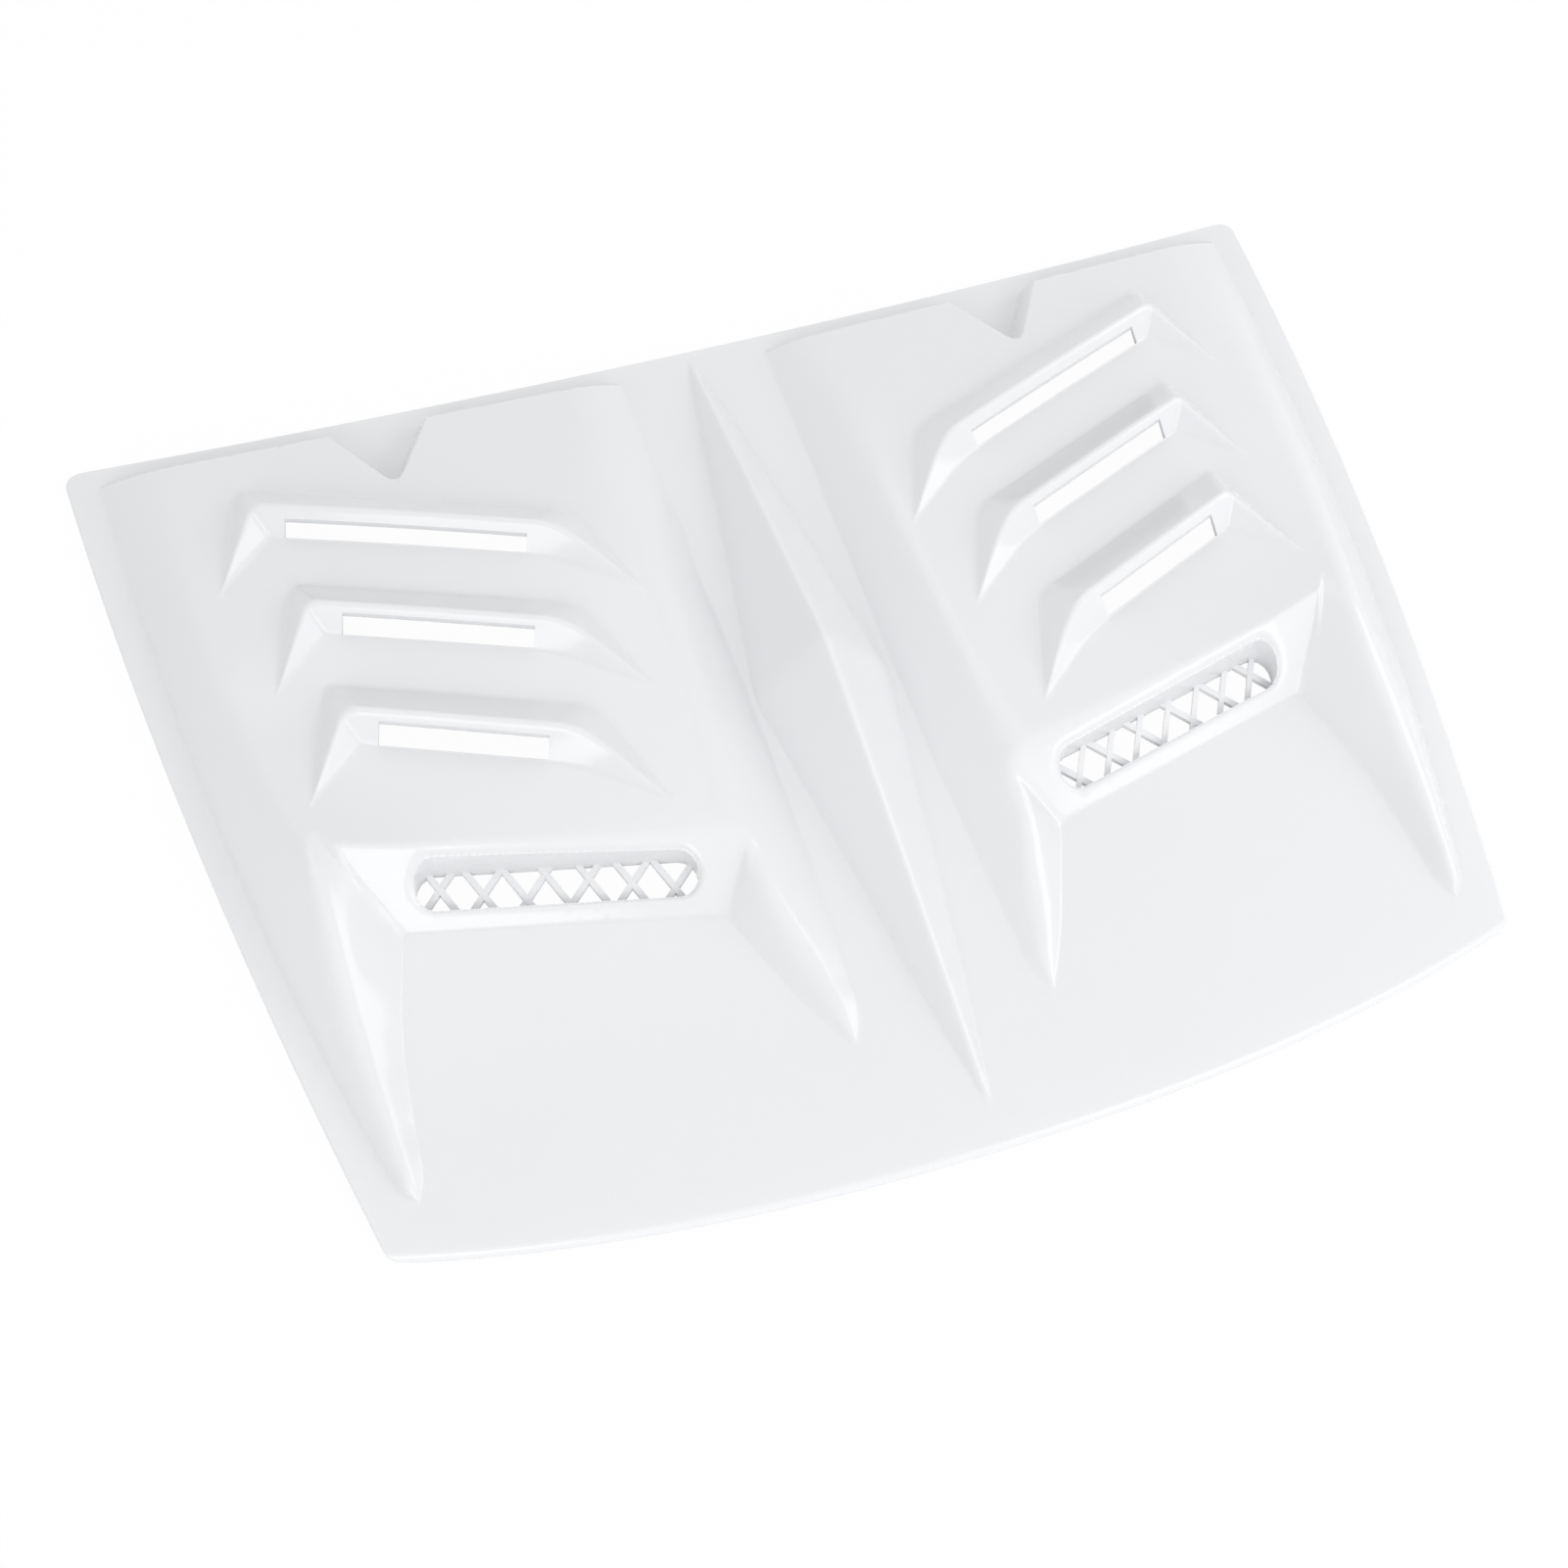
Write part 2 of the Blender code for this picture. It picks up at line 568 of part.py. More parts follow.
def bar_outlines(count, pitch, turn):
    """The plan of one family of parallel lattice bars, in the recess axes."""
    half = BAR_WIDTH / 2 / math.sin(turn)
    for i in range(count):
        middle = (i - (count - 1) / 2) * pitch
        yield [end_of_line(middle - half, turn + math.pi), end_of_line(middle + half, turn + math.pi),
               end_of_line(middle + half, turn), end_of_line(middle - half, turn)]


def boolean(obj, operation, other):
    modifier = obj.modifiers.new(operation.title() + " " + other.name, "BOOLEAN")
    modifier.operation = operation
    modifier.solver = "EXACT"
    modifier.object = other


def plastic():
    material = bpy.data.materials.new("white_gloss_plastic")
    material.use_nodes = True
    shader = material.node_tree.nodes["Principled BSDF"]
    shader.inputs["Base Color"].default_value = PLASTIC_WHITE
    shader.inputs["Roughness"].default_value = PLASTIC_ROUGHNESS
    shader.inputs["Metallic"].default_value = 0.0
    return material


def build_panel():
    """The skin, then the recesses with their lattices, then the louvre slots."""
    verts, faces, edge = half_shell()
    panel = mesh_object("panel", verts, faces)
    inside_edge = panel.vertex_groups.new(name="Inside the edge")
    inside_edge.add(sorted(set(range(len(verts))) - set(edge)), 1.0, "REPLACE")
    mirror = panel.modifiers.new("Mirror", "MIRROR")
    mirror.merge_threshold = 0.0001
    decimate = panel.modifiers.new("Decimate", "DECIMATE")
    decimate.ratio = FACETS / (2 * len(faces))
    decimate.vertex_group = inside_edge.name
    decimate.use_symmetry = True
    decimate.symmetry_axis = "X"

    sides = (1, -1)
    walls = [(placed(recess_outline(-RECESS_WALL / 4, 0.5), RECESS_CENTRE, RECESS_TURN, side),
              placed(recess_outline(RECESS_WALL, 0.5), RECESS_CENTRE, RECESS_TURN, side),
              lattice_plane(-LATTICE_DEPTH - RECESS_RIM), under_skin(RECESS_WALL / 2),
              under_skin(WALL / 2)) for side in sides]
    mouths = [(placed(recess_outline(0.0), RECESS_CENTRE, RECESS_TURN, side),
               level(CUT_BOTTOM), level(CUT_TOP)) for side in sides]
    families = ((0.0, bar_outlines(BARS_FORWARD, BARS_FORWARD_PITCH, BARS_FORWARD_TURN)),
                (-BAR_STAGGER, bar_outlines(BARS_BACK, BARS_BACK_PITCH, BARS_BACK_TURN)))
    bars = [[(placed(bar, RECESS_CENTRE, RECESS_TURN, side), lattice_plane(drop - LATTICE_DEPTH),
              lattice_plane(drop)) for bar in family for side in sides] for drop, family in families]
    slots = []
    for foot, length, run in zip(SLOT_FOOT, SLOT_LENGTH, SLOT_RUN):
        box = ((-length / 2, 0), (length / 2, 0), (length / 2, run), (-length / 2, run))
        slots += [(placed(box, foot, SWEEP, side), level(CUT_BOTTOM), level(CUT_TOP)) for side in sides]

    wall_guide = tube_object("recess_walls", walls)
    mouth_guide = guide_object("recess_mouths", mouths)
    slot_guide = guide_object("slot_cutters", slots)
    boolean(panel, "DIFFERENCE", slot_guide)
    boolean(panel, "UNION", wall_guide)
    boolean(panel, "DIFFERENCE", mouth_guide)
    for name, prisms in zip(("bars_forward", "bars_back"), bars):
        boolean(panel, "UNION", guide_object(name, prisms))
    panel.data.materials.append(plastic())
    return panel


def set_down(panel):
    """Move the panel and its guides so that the origin is at its bottom centre."""
    bpy.context.view_layer.update()
    shape = panel.evaluated_get(bpy.context.evaluated_depsgraph_get()).to_mesh()
    lowest = min(vertex.co.z for vertex in shape.vertices)
    front = min(vertex.co.y for vertex in shape.vertices)
    rear = max(vertex.co.y for vertex in shape.vertices)
    for obj in bpy.context.collection.objects:
        obj.location = (0.0, -(front + rear) / 2, -lowest)


def main():
    for obj in list(bpy.data.objects):
        bpy.data.objects.remove(obj, do_unlink=True)
    panel = build_panel()
    set_down(panel)


main()
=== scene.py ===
"""Car bonnet vent panel: the moulded skin at full smoothness, its gloss plastic and a studio.

Metres, +Z up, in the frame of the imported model. X runs across the car with the symmetry plane
at 0, and -Y is the front. The outer skin is a height over the plan, built from ruled and flat
faces that are blended where they meet. It is drawn on a grid that is closer where it bends.
"""

import math

import bmesh
import bpy
import numpy as np
from mathutils import Euler, Matrix, Vector
from mathutils.geometry import delaunay_2d_cdt


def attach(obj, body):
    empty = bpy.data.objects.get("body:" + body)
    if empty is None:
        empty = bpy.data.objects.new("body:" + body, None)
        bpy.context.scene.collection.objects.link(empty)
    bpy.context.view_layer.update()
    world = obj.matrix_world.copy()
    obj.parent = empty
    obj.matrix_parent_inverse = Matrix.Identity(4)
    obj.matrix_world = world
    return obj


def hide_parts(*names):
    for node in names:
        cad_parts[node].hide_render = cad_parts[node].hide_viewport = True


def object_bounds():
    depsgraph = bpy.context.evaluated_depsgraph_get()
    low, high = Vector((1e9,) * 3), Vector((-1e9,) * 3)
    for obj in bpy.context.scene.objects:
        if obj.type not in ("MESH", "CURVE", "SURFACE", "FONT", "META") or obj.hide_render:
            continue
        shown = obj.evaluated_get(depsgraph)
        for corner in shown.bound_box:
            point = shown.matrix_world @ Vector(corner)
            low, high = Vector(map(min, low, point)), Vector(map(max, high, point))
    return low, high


bl_info = {
    "name": "Bonnet Vent Panel",
    "version": (1, 0, 0),
    "blender": (4, 5, 0),
    "location": "View3D > Sidebar > Bonnet Vent",
    "description": "Moulds a louvred bonnet vent in white gloss plastic and lights it in a studio",
    "category": "Object",
}

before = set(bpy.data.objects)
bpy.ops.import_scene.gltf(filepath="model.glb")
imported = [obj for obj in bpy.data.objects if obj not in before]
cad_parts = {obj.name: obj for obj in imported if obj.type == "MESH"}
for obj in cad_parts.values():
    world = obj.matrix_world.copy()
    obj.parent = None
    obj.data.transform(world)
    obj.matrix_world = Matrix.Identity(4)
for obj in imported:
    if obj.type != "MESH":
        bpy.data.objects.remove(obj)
CAD_LOW, CAD_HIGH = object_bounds()
SLOT_NAME = "white_gloss_plastic"

# Plan outline
HALF_REAR = 0.550
HALF_FRONT = 0.447
REAR_CORNER_Y = 0.404
FRONT_CORNER_Y = -0.351
SIDE_BULGE = 0.0142
REAR_SWEEP = 0.021
FRONT_BOW = 0.053
FRONT_BOW_SHARES = (0.79, 0.21)
REAR_CORNER_RADIUS = 0.018
FRONT_CORNER_RADIUS = 0.011
CORNER_TRIM = 1.2
CORNER_POINTS = 7

# Skin
WALL = 0.003
STEEPEST_WALL = 2.6
CROWN_TOP = 0.015
CROWN_LONG = 0.008
CROWN_CROSS = 0.007
CROWN_HALF_LENGTH = 0.400
FRONT_LIP = 0.0055
SIDE_LIP = 0.0016
LIP_LAND = 0.0012

# Pods: the raised fields that carry the louvres
FLANGE = 0.026
STEP_RUN = 0.006
STEP_SLOPE = 2.8
POD_INNER_FOOT = ((0.360, 0.067), (-0.240, 0.067), (-0.273, 0.069), (-0.300, 0.0795))
POD_OUTER_INSET = ((0.390, 0.026), (-0.255, 0.026), (-0.294, 0.028), (-0.306, 0.030),
                   (-0.315, 0.036))
INNER_SLOPE = ((0.360, 0.49), (0.064, 0.76), (-0.113, 0.62), (-0.170, 0.57), (-0.300, 0.50))
OUTER_SLOPE = ((0.374, 0.47), (0.165, 0.95), (0.064, 1.055), (-0.003, 1.166), (-0.120, 1.27),
               (-0.300, 1.27))
RAIL_INNER_X = 0.110
RAIL_MIDDLE_X = 0.290
RAIL_OUTER_INSET = 0.063
RAIL_INNER = ((0.357, 0.0250), (0.262, 0.0360), (0.165, 0.0430), (0.064, 0.0475), (-0.020, 0.0490),
              (-0.113, 0.0470))
RAIL_MIDDLE = ((0.366, 0.0255), (0.262, 0.0370), (0.165, 0.0430), (0.064, 0.0470), (-0.016, 0.0505),
               (-0.085, 0.0570))
RAIL_OUTER = ((0.374, 0.0206), (0.262, 0.0300), (0.165, 0.0385), (0.064, 0.0470), (-0.003, 0.0570),
              (-0.053, 0.0660))

# Washer jet notch in the rear edge of each pod
NOTCH_X = 0.2830
NOTCH_HALF_WIDTH = 0.030
NOTCH_DEPTH = 0.048
NOTCH_SLOPE = 2.3
NOTCH_BLEND = 0.036

# Louvres, from the rear forward; each is a hood over a slot along the foot of its front face
SWEEP = math.radians(22.4)
SLOT_FOOT = ((0.292, 0.222), (0.290, 0.118), (0.297, 0.009))
SLOT_LENGTH = (0.200, 0.154, 0.132)
SLOT_RUN = (0.0101, 0.0113, 0.0125)
HOOD_DEPTH = (0.050, 0.048, 0.054)
FACE_MARGIN = 0.013
FACE_SLOPE = 1.43
HOOD_REAR_SLOPE = 0.73
HOOD_SIDE_OUT = 0.038
HOOD_SIDE_IN = 0.0145
WING_OUT = (0.0275, -0.057)
WING_IN = (-0.084, -0.025)
SIDE_SLOPE_OUT = 1.07
SIDE_SLOPE_IN = 0.83
WING_SLOPE_OUT = 0.93
WING_SLOPE_IN = 0.86

# Scoop: a twisted face over a sunk floor, between two ridges that run forward to points
SCOOP_FOOT_IN = (0.142, -0.166)
SCOOP_FOOT_OUT = (0.374, -0.110)
SCOOP_SLOPES = (0.56, 1.02)
CHAMFER_FOOT_OUT = (0.386, -0.1195)
CHAMFER_SLOPES_OUT = (0.70, 0.56)
CHAMFER_TWIST_SHARES = (-2.0, 1.5)
CHAMFER_FOOT_IN = (0.137, -0.170)
CHAMFER_SLOPE_IN = 0.53
DUCT_OUTER_INSET = ((-0.1195, 0.1110), (-0.199, 0.0789), (-0.260, 0.0604), (-0.308, 0.0443),
                    (-0.322, 0.0345))
DUCT_FOOT_IN = ((-0.100, 0.1465), (-0.130, 0.1427), (-0.170, 0.137), (-0.207, 0.123),
                (-0.254, 0.1036), (-0.300, 0.0795))
DUCT_SLOPE_OUT = ((-0.070, 1.10), (-0.110, 1.02), (-0.150, 0.92), (-0.200, 0.86), (-0.300, 0.86))
DUCT_SLOPE_IN = ((-0.100, 0.82), (-0.170, 0.80), (-0.230, 0.64), (-0.300, 0.60))

# Lattice recess in the scoop face
RECESS_CENTRE = (0.2556, -0.1090)
RECESS_TURN = math.radians(13.0)
RECESS_LENGTH = 0.2155
RECESS_WIDTH = 0.0305
RECESS_WALL = 0.003
RECESS_ROUND = 0.006
RECESS_ROUND_SHARE = 0.9
RECESS_ARC_STEPS = 8
LATTICE_HEIGHT = 0.0158
LATTICE_TILT = 0.45
LATTICE_DEPTH = 0.004
BAR_WIDTH = 0.0046
BAR_STAGGER = 0.0004
RECESS_RIM = 0.0015
BARS_FORWARD = 7
BARS_FORWARD_PITCH = 0.1332 * RECESS_LENGTH
BARS_FORWARD_TURN = math.radians(51.5)
BARS_BACK = 6
BARS_BACK_PITCH = 0.1731 * RECESS_LENGTH
BARS_BACK_TURN = math.radians(129.5)

# Centre spine: four facets that meet in a peak
SPINE_REAR_Y = 0.3716
SPINE_FRONT_Y = -0.370
SPINE_PEAK_Y = 0.0164
SPINE_HALF_WIDTH = 0.0543
SPINE_WIDEST_Y = 0.0103
SPINE_HEIGHT = 0.0600
SPINE_CREST = 0.003
SPINE_PEAK_BLEND = 0.04

# Blends, as the height over which two faces run into each other
POD_CREST_BLENDS = (0.009, 0.014)
HOOD_CREST_BLENDS = (0.0015, 0.0085)
HOOD_CREST_SHARE = 0.35
WING_BLEND = 0.010
FOOT_BLEND = 0.0025
STEP_BLEND = 0.002

# Scoop blends: each pair runs from the inboard end of the face to its outboard end
CREASE_BLEND = 0.0010
SCOOP_CREST_BLENDS = (0.006, 0.003)
CHAMFER_BLEND = 0.012
CHAMFER_HEIGHT = 0.020
RIDGE_BLENDS = (0.014, 0.030)
RIDGE_FADE = 0.010

# Meshing: rows and clearances are in shares of the front lip
OUTLINE_STEP = 0.006
OUTER_ROWS = (0.12, 0.35, 0.65, 1.0, 1.6)
UNDER_ROWS = (1.0, 1.6)
ROW_CLEAR = 0.95
GRID_CLEAR = 2.0
SLOPE_REACH = 0.0005
CUT_BOTTOM = -0.05
CUT_TOP = 0.12
SAME_POINT = 1e-6
MIRROR_JOIN = 0.00002
LINE_HALVINGS = 40
SMALLEST_SHARE = 1.5

# Shading
SHARP_ANGLE = math.radians(35)
ON_SKIN = 0.0002
NORMAL_REACH = 0.0001
LEAST_UPWARD = 0.02

# Plastic: each noise is given as its cells a metre and its detail
PLASTIC_IOR = 1.52
GLOW_RADIUS = (1.0, 0.95, 0.9)
DRIFT_NOISE = (5.0, 2.0)
DRIFT_SHARES = (0.99, 1.01)
GLOSS_NOISE = (40.0, 3.0)
GLOSS_SHARES = (0.85, 1.15)
RIPPLE_NOISE = (160.0, 2.0)
RIPPLE_STRENGTH = 0.3

# Studio
WHITE = (1.0, 1.0, 1.0, 1.0)
FLOOR_RADIUS = 12.0
FLOOR_SEGMENTS = 96
FLOOR_DROP = 0.0002
FLOOR_ROUGHNESS = 0.9
FLOOR_WHITENESS = 0.975
SENSOR_WIDTH = 36.0
CAMERA_REACH = 100.0
CAMERA_PLACE = (-0.4119, -0.8688, 1.5075)
CAMERA_TURN = tuple(math.radians(a) for a in (30.254, -3.018, -18.618))
LAMP_REACH = 3.0
LAMP_SIZE = 1.5
LAMP_AIM = Vector((0.0, 0.0, 0.03))
LAMPS = (("front_left_softbox", 238, 30, 16.0), ("front_right_softbox", 304, 30, 14.0),
         ("right_softbox", 0, 30, 12.0), ("rear_softbox", 90, 60, 4.0))


def smooth_max(a, b, blend):
    """The higher of two heights, rounded where they lie closer than the blend."""
    near = np.maximum(blend - np.abs(a - b), 0.0)
    return np.maximum(a, b) + near * near / (4.0 * blend)


def smooth_min(a, b, blend):
    """The lower of two heights, rounded where they lie closer than the blend."""
    return -smooth_max(-a, -b, blend)


def along(stations, y):
    """A smooth curve through (y, value) stations, carried on straight past its ends."""
    ys, values = np.array(sorted(stations)).T
    slopes = np.gradient(values, ys)
    i = np.clip(np.searchsorted(ys, y) - 1, 0, len(ys) - 2)
    step = ys[i + 1] - ys[i]
    t = np.clip((y - ys[i]) / step, 0.0, 1.0)
    inside = (values[i] * (1 + 2 * t) * (1 - t) ** 2 + slopes[i] * step * t * (1 - t) ** 2
              + values[i + 1] * (3 - 2 * t) * t ** 2 - slopes[i + 1] * step * (1 - t) * t ** 2)
    past = slopes[0] * np.minimum(y - ys[0], 0.0) + slopes[-1] * np.maximum(y - ys[-1], 0.0)
    return inside + past


def rise(x, y, start, end, slope):
    """The height of a flat face over the plan, rising to the left of its foot line."""
    dx = end[0] - start[0]
    dy = end[1] - start[1]
    left = dx * (y - start[1]) - dy * (x - start[0])
    return slope * left / math.hypot(dx, dy)


def turned(x, y, origin, angle):
    """The plan point in axes that start at the origin and are turned by the angle."""
    dx = x - origin[0]
    dy = y - origin[1]
    return (dx * math.cos(angle) + dy * math.sin(angle),
            dy * math.cos(angle) - dx * math.sin(angle))


def side_edge(y):
    """How far out the bowed side edge lies."""
    share = (y - FRONT_CORNER_Y) / (REAR_CORNER_Y - FRONT_CORNER_Y)
    return HALF_FRONT + (HALF_REAR - HALF_FRONT) * share + SIDE_BULGE * 4 * share * (1 - share)


def rear_edge(x):
    """How far back the rear edge lies, swept forward on the centre line."""
    return REAR_CORNER_Y - REAR_SWEEP * (1 - (x / HALF_REAR) ** 2)


def front_edge(x):
    """How far forward the front edge lies, bowed a little more towards its corners."""
    share = (x / HALF_FRONT) ** 2
    first, second = FRONT_BOW_SHARES
    return FRONT_CORNER_Y - FRONT_BOW * (1 - first * share - second * share ** 2)


def crown(x, y):
    """The doubly curved ground that the flange, the valleys and the scoop floors lie on."""
    return (CROWN_TOP - CROWN_LONG * (y / CROWN_HALF_LENGTH) ** 2
            - CROWN_CROSS * (x / HALF_REAR) ** 2)


def pod_top(x, y):
    """A parabola across three rails, the outer one parallel to the side edge."""
    outer = side_edge(y) - RAIL_OUTER_INSET
    inner_part = ((x - RAIL_MIDDLE_X) * (x - outer)
                  / ((RAIL_INNER_X - RAIL_MIDDLE_X) * (RAIL_INNER_X - outer)))
    middle_part = ((x - RAIL_INNER_X) * (x - outer)
                   / ((RAIL_MIDDLE_X - RAIL_INNER_X) * (RAIL_MIDDLE_X - outer)))
    outer_part = ((x - RAIL_INNER_X) * (x - RAIL_MIDDLE_X)
                  / ((outer - RAIL_INNER_X) * (outer - RAIL_MIDDLE_X)))
    return (inner_part * along(RAIL_INNER, y) + middle_part * along(RAIL_MIDDLE, y)
            + outer_part * along(RAIL_OUTER, y))


def hood(x, y, number):
    """The height that one louvre adds: a hood with a steep face between two wings."""
    u, v = turned(x, y, SLOT_FOOT[number], SWEEP)
    half = SLOT_LENGTH[number] / 2 + FACE_MARGIN
    depth = HOOD_DEPTH[number]
    rear_out = (half + HOOD_SIDE_OUT, depth)
    rear_in = (-half - HOOD_SIDE_IN, depth)
    face_out = (half, 0.0)
    face_in = (-half, 0.0)
    tip_out = (half + WING_OUT[0], WING_OUT[1])
    tip_in = (-half + WING_IN[0], WING_IN[1])
    face = smooth_max(rise(u, v, face_in, face_out, FACE_SLOPE),
                      rise(u, v, tip_in, face_in, WING_SLOPE_IN), WING_BLEND)
    front = smooth_max(face, rise(u, v, face_out, tip_out, WING_SLOPE_OUT), FOOT_BLEND)
    crest = np.clip(HOOD_CREST_SHARE * front, *HOOD_CREST_BLENDS)
    sides = smooth_min(rise(u, v, tip_out, rear_out, SIDE_SLOPE_OUT),
                       rise(u, v, rear_in, tip_in, SIDE_SLOPE_IN), crest)
    back = smooth_min(rise(u, v, rear_out, rear_in, HOOD_REAR_SLOPE), sides, crest)
    return smooth_max(smooth_min(front, back, crest), 0.0 * u, FOOT_BLEND)


def notch_cut(x, y):
    """The steep V walls of the washer jet notch, above the crown."""
    tip_y = REAR_CORNER_Y - REAR_SWEEP - FLANGE - NOTCH_DEPTH
    mouth_y = tip_y + NOTCH_DEPTH
    outboard = rise(x, y, (NOTCH_X + NOTCH_HALF_WIDTH, mouth_y), (NOTCH_X, tip_y), NOTCH_SLOPE)
    inboard = rise(x, y, (NOTCH_X, tip_y), (NOTCH_X - NOTCH_HALF_WIDTH, mouth_y), NOTCH_SLOPE)
    return smooth_max(outboard, inboard, NOTCH_BLEND)


def twisted(x, y, start, end, slopes, shares=(0.0, 1.0)):
    """The height of a ruled face whose slope changes evenly between two shares of its foot line."""
    run = (end[0] - start[0], end[1] - start[1])
    share = ((x - start[0]) * run[0] + (y - start[1]) * run[1]) / (run[0] ** 2 + run[1] ** 2)
    slope = slopes[0] + (slopes[1] - slopes[0]) * np.clip(share, *shares)
    return slope * rise(x, y, start, end, 1.0)


def scoop_cut(x, y):
    """The scoop above the crown, and how far its chamfers and duct walls stand over its face."""
    face = twisted(x, y, SCOOP_FOOT_IN, SCOOP_FOOT_OUT, SCOOP_SLOPES)
    chamfer_out = twisted(x, y, SCOOP_FOOT_OUT, CHAMFER_FOOT_OUT, CHAMFER_SLOPES_OUT,
                          CHAMFER_TWIST_SHARES)
    chamfer_in = rise(x, y, CHAMFER_FOOT_IN, SCOOP_FOOT_IN, CHAMFER_SLOPE_IN)
    duct_out = along(DUCT_SLOPE_OUT, y) * (x - side_edge(y) + along(DUCT_OUTER_INSET, y))
    duct_in = along(DUCT_SLOPE_IN, y) * (along(DUCT_FOOT_IN, y) - x)
    low_chamfer = smooth_min(chamfer_out, CHAMFER_HEIGHT, CHAMFER_BLEND)
    outboard = smooth_max(low_chamfer, duct_out, np.clip(duct_out / 2, CREASE_BLEND, CHAMFER_BLEND))
    inboard = smooth_max(chamfer_in, duct_in, CREASE_BLEND)
    walls = smooth_max(outboard, inboard, CREASE_BLEND)
    return smooth_max(face, walls, CREASE_BLEND), walls - face


def pod(x, y):
    """One raised field with its louvres, cut by its side faces, rear step, notch and scoop."""
    ground = crown(x, y)
    top = pod_top(x, y)
    for number in range(len(SLOT_FOOT)):
        top = top + hood(x, y, number)
    outer = ground + along(OUTER_SLOPE, y) * (side_edge(y) - along(POD_OUTER_INSET, y) - x)
    inner = ground + along(INNER_SLOPE, y) * (x - along(POD_INNER_FOOT, y))
    rear = ground + STEP_SLOPE * (rear_edge(x) - FLANGE + STEP_RUN - y)
    body = smooth_min(smooth_min(top, outer, POD_CREST_BLENDS[1]), inner, POD_CREST_BLENDS[0])
    body = smooth_min(body, rear, STEP_BLEND)
    body = smooth_min(body, ground + notch_cut(x, y), STEP_BLEND)
    cut, lead = scoop_cut(x, y)
    ends = (SCOOP_FOOT_IN[0], SCOOP_FOOT_OUT[0])
    crest = np.interp(x, ends, SCOOP_CREST_BLENDS)
    height = np.maximum((body - ground + cut) / 2, CREASE_BLEND)
    ridge = np.minimum(np.interp(x, ends, RIDGE_BLENDS), height)
    share = np.clip(lead / RIDGE_FADE, 0.0, 1.0)
    blend = crest + (ridge - crest) * share * share * (3 - 2 * share)
    return smooth_min(body, ground + cut, blend)


def spine(x, y):
    """The height of the four-faceted spine above the crown."""
    off_centre = np.sqrt(x * x + SPINE_CREST ** 2) - SPINE_CREST
    corner = (SPINE_HALF_WIDTH, SPINE_WIDEST_Y)
    peak = (0.0, SPINE_PEAK_Y)
    rear_tip = (0.0, SPINE_REAR_Y)
    front_tip = (0.0, SPINE_FRONT_Y)
    rear = rise(off_centre, y, corner, rear_tip, 1.0) / rise(*peak, corner, rear_tip, 1.0)
    front = rise(off_centre, y, front_tip, corner, 1.0) / rise(*peak, front_tip, corner, 1.0)
    return SPINE_HEIGHT * smooth_min(rear, front, SPINE_PEAK_BLEND)


def lip_drop(x, y):
    """How far the rounded edge has turned down, from the distance to each edge."""
    front = np.clip(FRONT_LIP - (y - front_edge(x)), 0.0, FRONT_LIP)
    side = np.clip(SIDE_LIP - (side_edge(y) - x), 0.0, SIDE_LIP)
    return (FRONT_LIP - np.sqrt(FRONT_LIP ** 2 - front ** 2)
            + SIDE_LIP - np.sqrt(SIDE_LIP ** 2 - side ** 2))


def rim_drop(x, y):
    """How far the rounded rim of the scoop recess has turned in, from the distance to its wall."""
    u, v = turned(x, y, RECESS_CENTRE, RECESS_TURN)
    straight = RECESS_LENGTH / 2 - RECESS_WIDTH / 2
    away = np.hypot(np.maximum(np.abs(u) - straight, 0.0), v) - RECESS_WIDTH / 2
    turned_in = np.clip(RECESS_ROUND - away, 0.0, RECESS_ROUND_SHARE * RECESS_ROUND)
    return RECESS_ROUND - np.sqrt(RECESS_ROUND ** 2 - turned_in ** 2)


def skin(x, y):
    """The outer surface without its turned-down edge."""
    x = np.abs(x)
    ground = crown(x, y)
    raised = smooth_max(ground, pod(x, y), CREASE_BLEND)
    raised = smooth_max(raised, ground + spine(x, y), CREASE_BLEND)
    return raised - rim_drop(x, y)


def outer_height(x, y):
    """The outer surface as it is drawn."""
    return skin(x, y) - lip_drop(np.abs(x), y)


def slopes_of(height, x, y, reach):
    """How steeply a surface climbs across and along the car, measured over a short reach."""
    return ((height(x + reach, y) - height(x - reach, y)) / (2 * reach),
            (height(x, y + reach) - height(x, y - reach)) / (2 * reach))


def inner_height(x, y):
    """The underside, one wall thickness in from the skin and below the rolled front lip."""
    slope_x, slope_y = slopes_of(skin, x, y, SLOPE_REACH)
    steep = np.minimum(np.sqrt(1 + slope_x ** 2 + slope_y ** 2), STEEPEST_WALL)
    under = skin(x, y) - WALL * steep
    fade = np.clip(2 - (y - front_edge(np.abs(x))) / FRONT_LIP, 0.0, 1.0)
    return under + fade * np.minimum(crown(x, y) - FRONT_LIP - LIP_LAND - under, 0.0)


def rounded(points, corner, radius):
    """Replace one corner of an outline by an arc-like curve of the given reach."""
    before = np.array(points[corner - 1])
    tip = np.array(points[corner])
    after = np.array(points[corner + 1])
    start = tip + (before - tip) * radius / np.linalg.norm(before - tip)
    end = tip + (after - tip) * radius / np.linalg.norm(after - tip)
    curve = [(1 - t) ** 2 * start + 2 * t * (1 - t) * tip + t ** 2 * end
             for t in np.linspace(0, 1, CORNER_POINTS)]
    return points[:corner] + [tuple(p) for p in curve] + points[corner + 1:]


